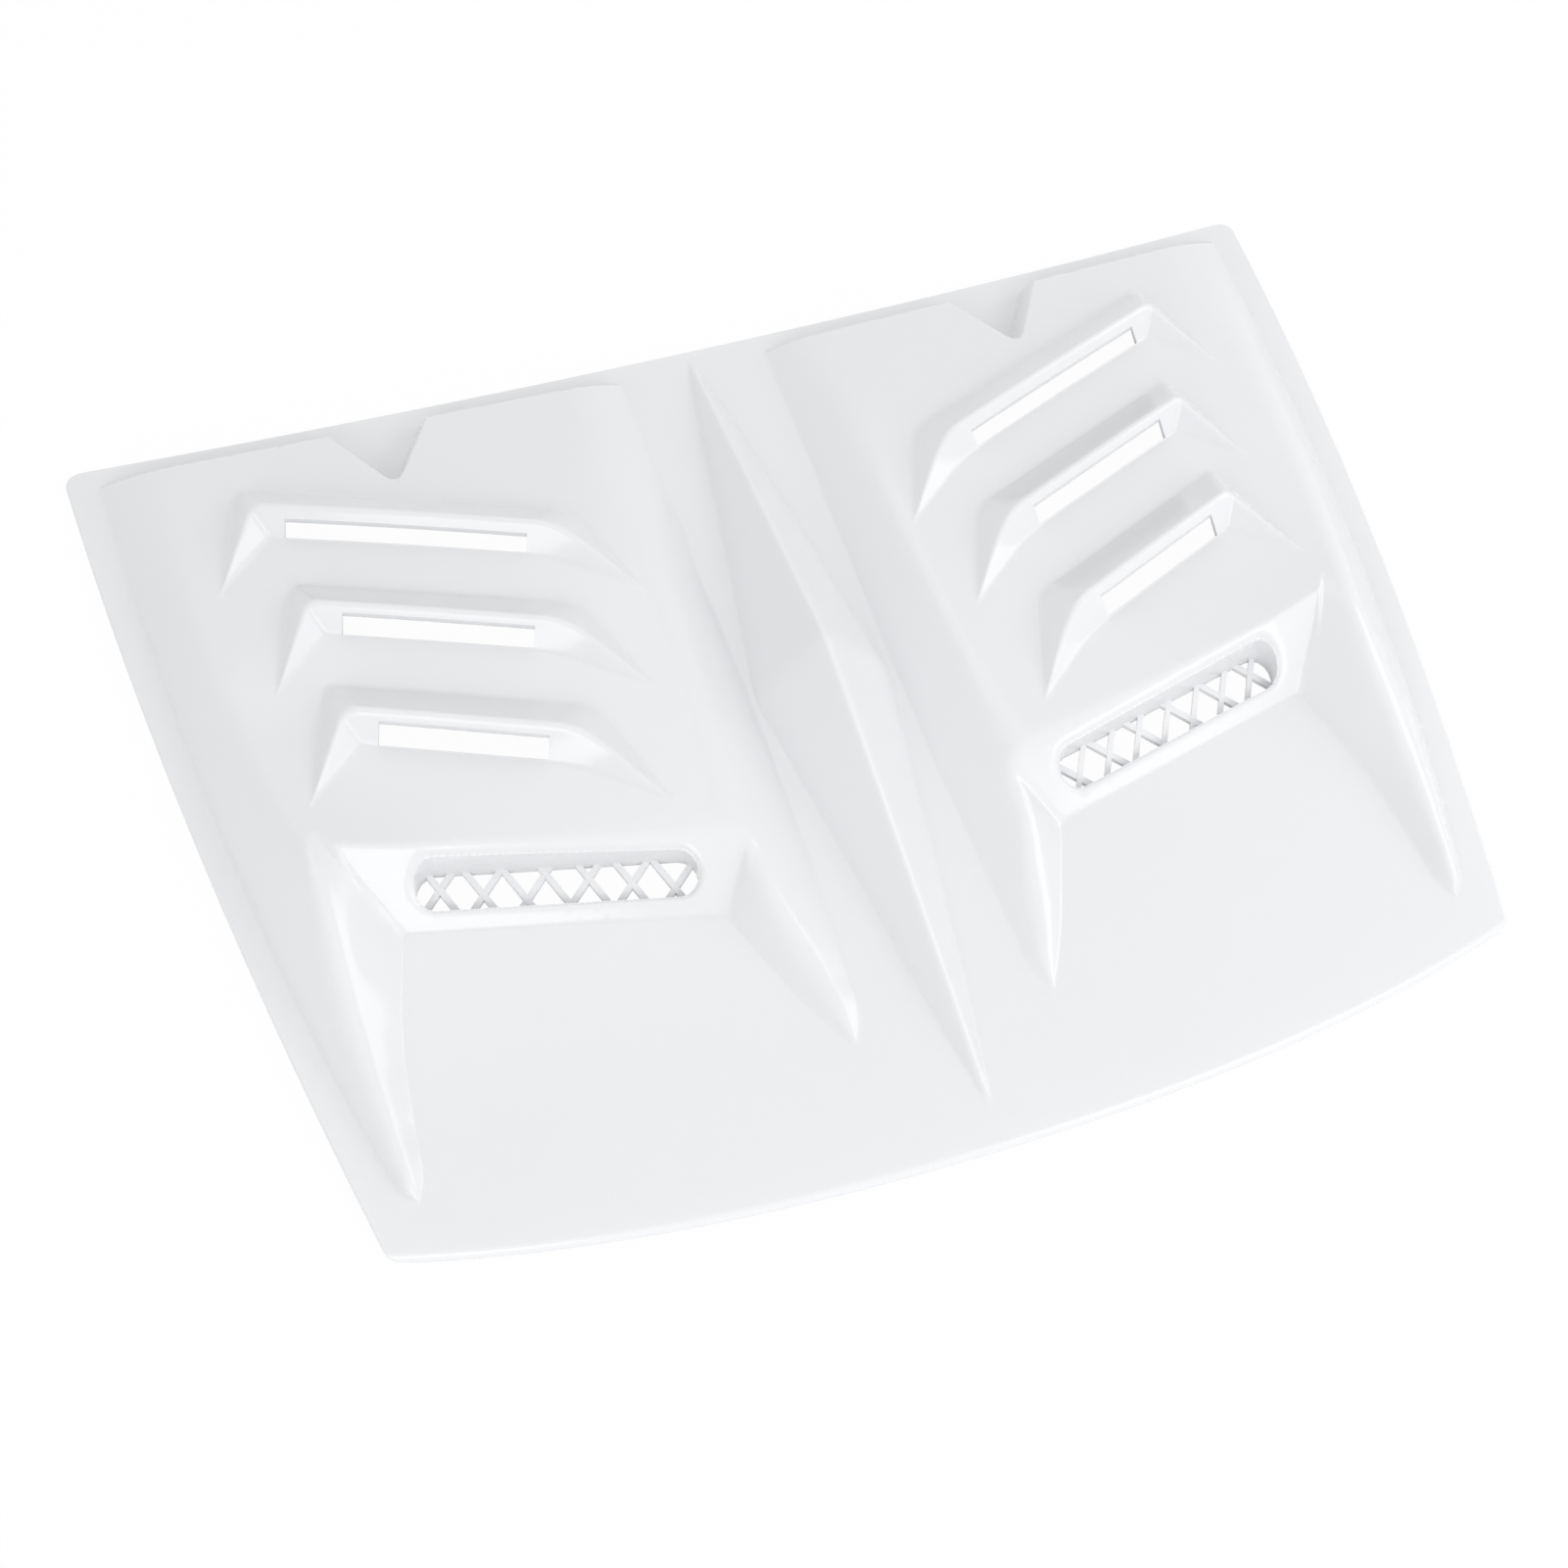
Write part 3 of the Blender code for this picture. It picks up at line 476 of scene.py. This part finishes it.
def half_outline():
    """The outline of the right-hand half, from the front of the centre line to its rear."""
    def steps(length):
        return max(2, round(length / OUTLINE_STEP))

    front = [(x, front_edge(x)) for x in np.linspace(0, HALF_FRONT, steps(HALF_FRONT))]
    trim = FRONT_CORNER_RADIUS * CORNER_TRIM
    front = [p for p in front[:-1] if p[0] < HALF_FRONT - trim] + [front[-1]]
    side_y = np.linspace(FRONT_CORNER_Y, REAR_CORNER_Y, steps(REAR_CORNER_Y - FRONT_CORNER_Y))[1:]
    side = [(side_edge(y), y) for y in side_y if y > FRONT_CORNER_Y + trim]
    trim = REAR_CORNER_RADIUS * CORNER_TRIM
    side = [p for p in side[:-1] if p[1] < REAR_CORNER_Y - trim] + [side[-1]]
    rear = [(x, rear_edge(x)) for x in np.linspace(HALF_REAR, 0, steps(HALF_REAR))[1:]]
    rear = [p for p in rear if p[0] < HALF_REAR - trim]
    points = rounded(front + side + rear, len(front) - 1, FRONT_CORNER_RADIUS)
    rear_corner = max(range(len(points)), key=lambda i: points[i][0] + points[i][1])
    return rounded(points, rear_corner, REAR_CORNER_RADIUS)


def inside_distance(px, py, outline):
    """Each point's distance to the outline, negative outside it."""
    a = np.array(outline)
    b = np.roll(a, -1, axis=0)
    d = b - a
    near = np.full(px.shape, np.inf)
    crossings = np.zeros(px.shape, dtype=int)
    for (ax, ay), (bx, by), (dx, dy) in zip(a, b, d):
        t = np.clip(((px - ax) * dx + (py - ay) * dy) / (dx * dx + dy * dy), 0.0, 1.0)
        on_centre = ax == 0.0 and bx == 0.0
        if not on_centre:
            near = np.minimum(near, np.hypot(px - ax - t * dx, py - ay - t * dy))
        straddles = (ay > py) != (by > py)
        crossings += straddles & (px < ax + (py - ay) * dx / (dy if dy else 1.0))
    return np.where(crossings % 2 == 1, near, -near)


def bend_points(open_cell, smallest, allowed_sag):
    """Corners of square cells over the half plan, halved wherever the skin bends inside them."""
    xs = np.arange(0.0, HALF_REAR + open_cell, open_cell)
    ys = np.arange(-HALF_REAR, HALF_REAR, open_cell)
    x, y = (a.ravel() for a in np.meshgrid(xs, ys))
    size = open_cell
    corners = []
    while len(x):
        h = np.array([[skin(x + i * size / 2, y + j * size / 2) for j in range(3)]
                      for i in range(3)])
        sag = [h[0, 0] + h[2, 0] - 2 * h[1, 0], h[0, 2] + h[2, 2] - 2 * h[1, 2],
               h[0, 0] + h[0, 2] - 2 * h[0, 1], h[2, 0] + h[2, 2] - 2 * h[2, 1],
               h[0, 0] + h[2, 2] - 2 * h[1, 1], h[0, 2] + h[2, 0] - 2 * h[1, 1]]
        bends = (np.abs(sag).max(axis=0) > 2 * allowed_sag) & (size > SMALLEST_SHARE * smallest)
        for i, j in ((0, 0), (1, 0), (0, 1), (1, 1)):
            corners.append(np.stack([x[~bends] + i * size, y[~bends] + j * size], axis=1))
        size /= 2
        x = np.concatenate([x[bends] + i * size for i in (0, 1, 0, 1)])
        y = np.concatenate([y[bends] + j * size for j in (0, 0, 1, 1)])
    steps = np.round(np.concatenate(corners) / smallest).astype(int)
    return np.unique(steps, axis=0) * smallest


def lip_rows(outline, reaches):
    """Rows of points that follow the outline at the given shares of the lip inside it."""
    ring = np.array(outline)
    ahead = np.gradient(ring, axis=0)
    ahead[[0, -1], 1] = 0.0
    inward = np.stack([-ahead[:, 1], ahead[:, 0]], axis=1)
    inward /= np.linalg.norm(inward, axis=1)[:, None]
    rows = []
    for reach in reaches:
        row = ring + inward * reach * FRONT_LIP
        inside = inside_distance(row[:, 0] + SAME_POINT, row[:, 1], outline)
        rows.append([tuple(p) for p in row[inside > ROW_CLEAR * reach * FRONT_LIP]])
    return rows


def plan_triangles(outline, rows, cells):
    """Triangles over the half plan, on its outline, the rows along its lip and the grid inside."""
    points = list(outline)
    edges = [(i, (i + 1) % len(outline)) for i in range(len(outline))]
    for row in rows:
        edges += [(len(points) + i, len(points) + i + 1) for i in range(len(row) - 1)]
        points += row
    x, y = bend_points(*cells).T
    keep = inside_distance(x + SAME_POINT, y, outline) > GRID_CLEAR * FRONT_LIP
    points += [(px, py) for px, py in zip(x[keep], y[keep])]
    verts, _, faces, *_ = delaunay_2d_cdt(points, edges, [], 1, SAME_POINT)
    return np.array([(v.x, v.y) for v in verts]), [tuple(f) for f in faces]


def half_shell(sizes):
    """The right-hand half of the skin, open only on the centre plane."""
    outline = half_outline()
    verts = []
    faces = []
    for height, reaches, coarser in ((outer_height, OUTER_ROWS, 1), (inner_height, UNDER_ROWS, 2)):
        cells = (sizes.open_cell, coarser * sizes.crease_cell, coarser ** 2 * sizes.bend)
        plan, plan_faces = plan_triangles(outline, lip_rows(outline, reaches), cells)
        x = np.where(np.abs(plan[:, 0]) < SAME_POINT, 0.0, plan[:, 0])
        below = len(verts)
        verts += [tuple(v) for v in np.stack([x, plan[:, 1], height(x, plan[:, 1])], axis=1)]
        faces += [tuple(below + i for i in (reversed(face) if below else face))
                  for face in plan_faces]
    for i in range(len(outline)):
        j = (i + 1) % len(outline)
        if outline[i][0] > SAME_POINT or outline[j][0] > SAME_POINT:
            faces.append((j, i, below + i, below + j))
    return verts, faces


def mesh_object(name, verts, faces):
    """A new object in the scene with the given mesh."""
    mesh = bpy.data.meshes.new(name)
    mesh.from_pydata(verts, [], faces)
    mesh.validate()
    obj = bpy.data.objects.new(name, mesh)
    bpy.context.scene.collection.objects.link(obj)
    return obj


def hidden_guide(obj):
    """Face the guide outward and keep it out of renders."""
    edit = bmesh.new()
    edit.from_mesh(obj.data)
    bmesh.ops.recalc_face_normals(edit, faces=edit.faces)
    edit.to_mesh(obj.data)
    edit.free()
    obj.hide_render = True
    obj.display_type = "WIRE"
    return obj


def guide_object(name, prisms):
    """One hidden cutter or filler made of closed prisms, given as (outline, bottom, top)."""
    verts = []
    faces = []
    for outline, bottom, top in prisms:
        first = len(verts)
        count = len(outline)
        for height in (bottom, top):
            verts += [(x, y, height(x, y)) for x, y in outline]
        faces.append(tuple(first + i for i in reversed(range(count))))
        faces.append(tuple(first + count + i for i in range(count)))
        for i in range(count):
            j = (i + 1) % count
            faces.append((first + i, first + j, first + count + j, first + count + i))
    return hidden_guide(mesh_object(name, verts, faces))


def tube_object(name, tubes):
    """One hidden filler made of closed tube walls.

    Each is given as (inner, outer, bottom, inner_top, outer_top): two outlines and three heights.
    """
    verts = []
    faces = []
    for inner, outer, bottom, inner_top, outer_top in tubes:
        first = len(verts)
        count = len(inner)
        loops = [(inner, bottom), (outer, bottom), (outer, outer_top), (inner, inner_top)]
        for loop, height in loops:
            verts += [(x, y, height(x, y)) for x, y in loop]
        for k in range(4):
            for i in range(count):
                j = (i + 1) % count
                a, b = first + k * count, first + (k + 1) % 4 * count
                faces.append((a + i, a + j, b + j, b + i))
    return hidden_guide(mesh_object(name, verts, faces))


def placed(points, origin, angle, side):
    """Local plan points turned into place on one side of the symmetry plane."""
    cos, sin = math.cos(angle), math.sin(angle)
    return [(side * (origin[0] + u * cos - v * sin), origin[1] + u * sin + v * cos)
            for u, v in points]


def recess_outline(grow, first_step=0.0):
    """A slot with round ends, in its own axes, whose arcs start a share of a step in."""
    radius = RECESS_WIDTH / 2 + grow
    half = RECESS_LENGTH / 2 - RECESS_WIDTH / 2
    points = []
    for end, start in ((1, -math.pi / 2), (-1, math.pi / 2)):
        for step in np.arange(first_step, RECESS_ARC_STEPS + 0.1):
            angle = start + math.pi * step / RECESS_ARC_STEPS
            points.append((end * half + radius * math.cos(angle), radius * math.sin(angle)))
    return points


def lattice_plane(offset):
    """A plane parallel to the lattice, a given height above its middle."""
    def height(x, y):
        _, v = turned(abs(x), y, RECESS_CENTRE, RECESS_TURN)
        return LATTICE_HEIGHT + LATTICE_TILT * v + offset
    return height


def level(height):
    """A surface at one height all over."""
    return lambda x, y: height


def under_skin(depth):
    """A surface that runs the given depth below the outer skin."""
    return lambda x, y: float(skin(np.array(x), np.array(y))) - depth


def end_of_line(start, angle):
    """Where a line from the long axis of the recess reaches the middle of its wall."""
    straight = RECESS_LENGTH / 2 - RECESS_WIDTH / 2
    near, far = 0.0, RECESS_LENGTH
    for _ in range(LINE_HALVINGS):
        reach = (near + far) / 2
        u = start + reach * math.cos(angle)
        v = reach * math.sin(angle)
        if math.hypot(max(abs(u) - straight, 0.0), v) < RECESS_WIDTH / 2 + RECESS_WALL / 2:
            near = reach
        else:
            far = reach
    return u, v


def bar_outlines(count, pitch, turn):
    """The plan of one family of parallel lattice bars, in the recess axes."""
    half = BAR_WIDTH / 2 / math.sin(turn)
    for i in range(count):
        middle = (i - (count - 1) / 2) * pitch
        ends = ((-half, math.pi), (half, math.pi), (half, 0.0), (-half, 0.0))
        yield [end_of_line(middle + edge, turn + half_turn) for edge, half_turn in ends]


def cut_and_join(obj, operation, guide):
    """One exact Boolean, applied with the modifiers before it, so the next meets a plain mesh."""
    modifier = obj.modifiers.new(guide.name, "BOOLEAN")
    modifier.operation = operation
    modifier.solver = "EXACT"
    modifier.object = guide
    bpy.context.view_layer.update()
    evaluated = obj.evaluated_get(bpy.context.evaluated_depsgraph_get())
    shaped = bpy.data.meshes.new_from_object(evaluated)
    obj.modifiers.clear()
    obj.data = shaped
    bpy.data.objects.remove(guide)


def shade_gloss(obj, shift):
    """Corner normals from the drawn surface on the outer skin, and by angle elsewhere."""
    mesh = obj.data
    mesh.polygons.foreach_set("use_smooth", [True] * len(mesh.polygons))
    mesh.set_sharp_from_angle(angle=SHARP_ANGLE)
    corners = len(mesh.loops)
    normals = np.empty(corners * 3)
    mesh.corner_normals.foreach_get("vector", normals)
    normals = normals.reshape(-1, 3)
    points = np.empty(len(mesh.vertices) * 3)
    mesh.vertices.foreach_get("co", points)
    points = points.reshape(-1, 3) - shift
    corner_vertex = np.empty(corners, dtype=int)
    mesh.loops.foreach_get("vertex_index", corner_vertex)
    facing = np.array([p.normal.z for p in mesh.polygons])
    totals = np.array([p.loop_total for p in mesh.polygons])
    off_skin = np.abs(points[:, 2] - outer_height(points[:, 0], points[:, 1])) > ON_SKIN
    corner_face = np.repeat(np.arange(len(totals)), totals)
    face_off = np.zeros(len(totals), dtype=bool)
    np.logical_or.at(face_off, corner_face, off_skin[corner_vertex])
    chosen = ~face_off[corner_face] & (facing[corner_face] > LEAST_UPWARD)
    x, y = points[corner_vertex[chosen], :2].T
    slope_x, slope_y = slopes_of(outer_height, x, y, NORMAL_REACH)
    drawn = np.stack([-slope_x, -slope_y, np.ones_like(slope_x)], axis=1)
    normals[chosen] = drawn / np.linalg.norm(drawn, axis=1)[:, None]
    mesh.normals_split_custom_set([tuple(n) for n in normals])


def mould_skin(sizes):
    """The skin, then the louvre slots, the recess walls and the lattices in them."""
    panel = mesh_object("panel_skin", *half_shell(sizes))
    mirror = panel.modifiers.new("Mirror", "MIRROR")
    mirror.merge_threshold = MIRROR_JOIN
    sides = (1, -1)
    slots = []
    for foot, length, run in zip(SLOT_FOOT, SLOT_LENGTH, SLOT_RUN):
        box = ((-length / 2, 0), (length / 2, 0), (length / 2, run), (-length / 2, run))
        slots += [(placed(box, foot, SWEEP, side), level(CUT_BOTTOM), level(CUT_TOP))
                  for side in sides]
    in_recess = (RECESS_CENTRE, RECESS_TURN)
    walls = [(placed(recess_outline(-RECESS_WALL / 4, 0.5), *in_recess, side),
              placed(recess_outline(RECESS_WALL, 0.5), *in_recess, side),
              lattice_plane(-LATTICE_DEPTH - RECESS_RIM), under_skin(RECESS_WALL / 2),
              under_skin(WALL / 2)) for side in sides]
    mouths = [(placed(recess_outline(0.0), *in_recess, side), level(CUT_BOTTOM), level(CUT_TOP))
              for side in sides]
    cut_and_join(panel, "DIFFERENCE", guide_object("slot_cutters", slots))
    cut_and_join(panel, "UNION", tube_object("recess_walls", walls))
    cut_and_join(panel, "DIFFERENCE", guide_object("recess_mouths", mouths))
    for drop, bars in ((0.0, bar_outlines(BARS_FORWARD, BARS_FORWARD_PITCH, BARS_FORWARD_TURN)),
                       (-BAR_STAGGER, bar_outlines(BARS_BACK, BARS_BACK_PITCH, BARS_BACK_TURN))):
        prisms = [(placed(bar, *in_recess, side), lattice_plane(drop - LATTICE_DEPTH),
                   lattice_plane(drop)) for bar in bars for side in sides]
        cut_and_join(panel, "UNION", guide_object("lattice_bars", prisms))
    return panel


def sit_in_frame(panel):
    """Move the skin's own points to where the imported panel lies, and return the shift."""
    points = np.array([v.co for v in panel.data.vertices])
    low, high = points.min(axis=0), points.max(axis=0)
    shift = np.array([0.0, (CAD_LOW[1] + CAD_HIGH[1] - low[1] - high[1]) / 2, CAD_LOW[2] - low[2]])
    panel.data.transform(Matrix.Translation(shift))
    return shift


class PanelSizes(bpy.types.PropertyGroup):
    """How finely the moulded skin is drawn."""

    open_cell: bpy.props.FloatProperty(
        name="Open Cell", description="Grid spacing where the skin is nearly flat",
        default=0.020, min=0.002, unit="LENGTH", subtype="DISTANCE")
    crease_cell: bpy.props.FloatProperty(
        name="Crease Cell", description="Grid spacing where faces meet",
        default=0.00125, min=0.0005, unit="LENGTH", subtype="DISTANCE")
    bend: bpy.props.FloatProperty(
        name="Bend", description="How far the skin may leave the grid before a cell is halved",
        default=0.00020, min=0.00001, unit="LENGTH", subtype="DISTANCE")


class PlasticFinish(bpy.types.PropertyGroup):
    """The white gloss ABS."""

    colour: bpy.props.FloatVectorProperty(
        name="Colour", description="Body colour of the moulded plastic",
        default=(0.851, 0.859, 0.875), size=3, min=0.0, max=1.0, subtype="COLOR")
    roughness: bpy.props.FloatProperty(
        name="Roughness", description="Blur of the gloss at its middle value",
        default=0.16, min=0.0, max=1.0, subtype="FACTOR")
    glow: bpy.props.FloatProperty(
        name="Glow", description="Share of the light that spreads inside the plastic",
        default=0.25, min=0.0, max=1.0, subtype="FACTOR")
    depth: bpy.props.FloatProperty(
        name="Glow Depth", description="How far that light spreads",
        default=0.004, min=0.0, unit="LENGTH", subtype="DISTANCE")
    flow: bpy.props.FloatProperty(
        name="Flow Relief", description="Height of the faint ripple that moulding leaves",
        default=0.00004, min=0.0, unit="LENGTH", subtype="DISTANCE")


class StudioLook(bpy.types.PropertyGroup):
    """The floor, the lamps and the camera."""

    floor_colour: bpy.props.FloatVectorProperty(
        name="Floor Colour", description="Colour of the floor and backdrop",
        default=(0.93, 0.93, 0.93), size=3, min=0.0, max=1.0, subtype="COLOR")
    fill: bpy.props.FloatProperty(
        name="Fill", description="Strength of the even light from all round",
        default=0.72, min=0.0)
    brightness: bpy.props.FloatProperty(
        name="Brightness", description="Share of their usual power that the lamps give",
        default=1.0, min=0.0)
    lens: bpy.props.FloatProperty(
        name="Lens", description="Focal length of the camera", default=50.0, unit="CAMERA")


def white_gloss_plastic(finish):
    """White ABS with a faint drift of tone, a little uneven gloss and a moulding ripple."""
    material = bpy.data.materials.new(SLOT_NAME)
    material.use_nodes = True
    nodes, links = material.node_tree.nodes, material.node_tree.links
    shader = nodes["Principled BSDF"]
    shader.inputs["IOR"].default_value = PLASTIC_IOR
    shader.inputs["Metallic"].default_value = 0.0
    shader.inputs["Subsurface Weight"].default_value = finish.glow
    shader.inputs["Subsurface Radius"].default_value = GLOW_RADIUS
    shader.inputs["Subsurface Scale"].default_value = finish.depth
    place = nodes.new("ShaderNodeTexCoord")

    def noise(scale, detail):
        node = nodes.new("ShaderNodeTexNoise")
        node.inputs["Scale"].default_value = scale
        node.inputs["Detail"].default_value = detail
        links.new(place.outputs["Object"], node.inputs["Vector"])
        return node.outputs["Fac"]

    tone = nodes.new("ShaderNodeMix")
    tone.data_type = "RGBA"
    for end, share in zip("AB", DRIFT_SHARES):
        tone.inputs[end].default_value = (*(min(c * share, 1.0) for c in finish.colour), 1.0)
    links.new(noise(*DRIFT_NOISE), tone.inputs["Factor"])
    links.new(tone.outputs["Result"], shader.inputs["Base Color"])

    gloss = nodes.new("ShaderNodeMapRange")
    for end, share in zip(("To Min", "To Max"), GLOSS_SHARES):
        gloss.inputs[end].default_value = finish.roughness * share
    links.new(noise(*GLOSS_NOISE), gloss.inputs["Value"])
    links.new(gloss.outputs["Result"], shader.inputs["Roughness"])

    ripple = nodes.new("ShaderNodeBump")
    ripple.inputs["Strength"].default_value = RIPPLE_STRENGTH
    ripple.inputs["Distance"].default_value = finish.flow
    links.new(noise(*RIPPLE_NOISE), ripple.inputs["Height"])
    links.new(ripple.outputs["Normal"], shader.inputs["Normal"])
    return material


def seen_share(nodes, links):
    """One for rays from the camera, gloss and clear parts, and none for diffuse rays."""
    ray = nodes.new("ShaderNodeLightPath")
    share = ray.outputs["Is Camera Ray"]
    for kind in ("Is Glossy Ray", "Is Transmission Ray"):
        either = nodes.new("ShaderNodeMath")
        either.operation = "MAXIMUM"
        links.new(share, either.inputs[0])
        links.new(ray.outputs[kind], either.inputs[1])
        share = either.outputs[0]
    return share


def mixed_shader(nodes, links, share, first, second):
    """A shader that runs from the first to the second as the share goes from none to one."""
    mixed = nodes.new("ShaderNodeMixShader")
    links.new(share, mixed.inputs["Fac"])
    links.new(first.outputs[0], mixed.inputs[1])
    links.new(second.outputs[0], mixed.inputs[2])
    return mixed.outputs[0]


def studio_floor(look):
    """A wide flat floor that shows white and keeps a soft shadow."""
    mesh = bpy.data.meshes.new("studio_floor")
    edit = bmesh.new()
    bmesh.ops.create_circle(edit, cap_ends=True, segments=FLOOR_SEGMENTS, radius=FLOOR_RADIUS)
    edit.to_mesh(mesh)
    edit.free()
    floor = bpy.data.objects.new("studio_floor", mesh)
    bpy.context.scene.collection.objects.link(floor)
    floor.location.z = -FLOOR_DROP
    material = bpy.data.materials.new("pale_floor")
    material.use_nodes = True
    nodes, links = material.node_tree.nodes, material.node_tree.links
    lit = nodes["Principled BSDF"]
    lit.inputs["Base Color"].default_value = (*look.floor_colour, 1.0)
    lit.inputs["Roughness"].default_value = FLOOR_ROUGHNESS
    lit.inputs["Specular IOR Level"].default_value = 0.0
    white = nodes.new("ShaderNodeEmission")
    white.inputs["Strength"].default_value = 1.0
    share = nodes.new("ShaderNodeMath")
    share.operation = "MULTIPLY"
    share.inputs[1].default_value = FLOOR_WHITENESS
    links.new(seen_share(nodes, links), share.inputs[0])
    links.new(mixed_shader(nodes, links, share.outputs[0], lit, white),
              nodes["Material Output"].inputs["Surface"])
    mesh.materials.append(material)


def studio_world(look):
    """Even fill light that the camera and the gloss see as white."""
    world = bpy.data.worlds.new("studio_air")
    world.use_nodes = True
    nodes, links = world.node_tree.nodes, world.node_tree.links
    fill = nodes["Background"]
    fill.inputs["Color"].default_value = WHITE
    fill.inputs["Strength"].default_value = look.fill
    white = nodes.new("ShaderNodeBackground")
    white.inputs["Color"].default_value = WHITE
    white.inputs["Strength"].default_value = 1.0
    links.new(mixed_shader(nodes, links, seen_share(nodes, links), fill, white),
              nodes["World Output"].inputs["Surface"])
    bpy.context.scene.world = world


def softbox(name, azimuth, elevation, power):
    """A square area lamp, so many degrees round and up, that looks at the middle of the panel."""
    data = bpy.data.lights.new(name, "AREA")
    data.shape = "SQUARE"
    data.size = LAMP_SIZE
    data.energy = power
    lamp = bpy.data.objects.new(name, data)
    turn = Euler((0.0, -math.radians(elevation), math.radians(azimuth))).to_matrix()
    lamp.location = turn @ Vector((LAMP_REACH, 0.0, 0.0))
    lamp.rotation_euler = (LAMP_AIM - lamp.location).to_track_quat("-Z", "Y").to_euler()
    bpy.context.scene.collection.objects.link(lamp)


class BONNET_OT_mould_panel(bpy.types.Operator):
    """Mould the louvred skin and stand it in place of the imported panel"""

    bl_idname = "bonnet.mould_panel"
    bl_label = "Mould Panel"
    bl_options = {"REGISTER", "UNDO"}

    def execute(self, context):
        panel = mould_skin(context.scene.bonnet_sizes)
        shift = sit_in_frame(panel)
        shade_gloss(panel, shift)
        panel.data.materials.clear()
        panel.data.materials.append(white_gloss_plastic(context.scene.bonnet_finish))
        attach(panel, "root")
        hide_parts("panel")
        return {"FINISHED"}


class BONNET_OT_set_studio(bpy.types.Operator):
    """Lay the floor, hang the lamps and place the camera"""

    bl_idname = "bonnet.set_studio"
    bl_label = "Set Studio"
    bl_options = {"REGISTER", "UNDO"}

    def execute(self, context):
        look = context.scene.bonnet_studio
        studio_floor(look)
        studio_world(look)
        for name, azimuth, elevation, power in LAMPS:
            softbox(name, azimuth, elevation, look.brightness * power)
        data = bpy.data.cameras.new("photo_camera")
        data.lens = look.lens
        data.sensor_width = SENSOR_WIDTH
        data.clip_end = CAMERA_REACH
        camera = bpy.data.objects.new("photo_camera", data)
        camera.location = CAMERA_PLACE
        camera.rotation_euler = CAMERA_TURN
        context.scene.collection.objects.link(camera)
        context.scene.camera = camera
        context.scene.view_settings.view_transform = "Standard"
        return {"FINISHED"}


class BONNET_PT_panel(bpy.types.Panel):
    """The settings and the two steps in the sidebar."""

    bl_label = "Bonnet Vent"
    bl_idname = "BONNET_PT_panel"
    bl_space_type = "VIEW_3D"
    bl_region_type = "UI"
    bl_category = "Bonnet Vent"

    def draw(self, context):
        scene = context.scene
        for settings in (scene.bonnet_sizes, scene.bonnet_finish, scene.bonnet_studio):
            box = self.layout.box()
            for name in settings.__annotations__:
                box.prop(settings, name)
        self.layout.operator(BONNET_OT_mould_panel.bl_idname)
        self.layout.operator(BONNET_OT_set_studio.bl_idname)


CLASSES = (PanelSizes, PlasticFinish, StudioLook, BONNET_OT_mould_panel, BONNET_OT_set_studio,
           BONNET_PT_panel)


def register():
    for cls in CLASSES:
        bpy.utils.register_class(cls)
    bpy.types.Scene.bonnet_sizes = bpy.props.PointerProperty(type=PanelSizes)
    bpy.types.Scene.bonnet_finish = bpy.props.PointerProperty(type=PlasticFinish)
    bpy.types.Scene.bonnet_studio = bpy.props.PointerProperty(type=StudioLook)


def unregister():
    del bpy.types.Scene.bonnet_studio
    del bpy.types.Scene.bonnet_finish
    del bpy.types.Scene.bonnet_sizes
    for cls in reversed(CLASSES):
        bpy.utils.unregister_class(cls)


def main():
    register()
    bpy.ops.bonnet.mould_panel()
    bpy.ops.bonnet.set_studio()


if __name__ == "__main__":
    main()
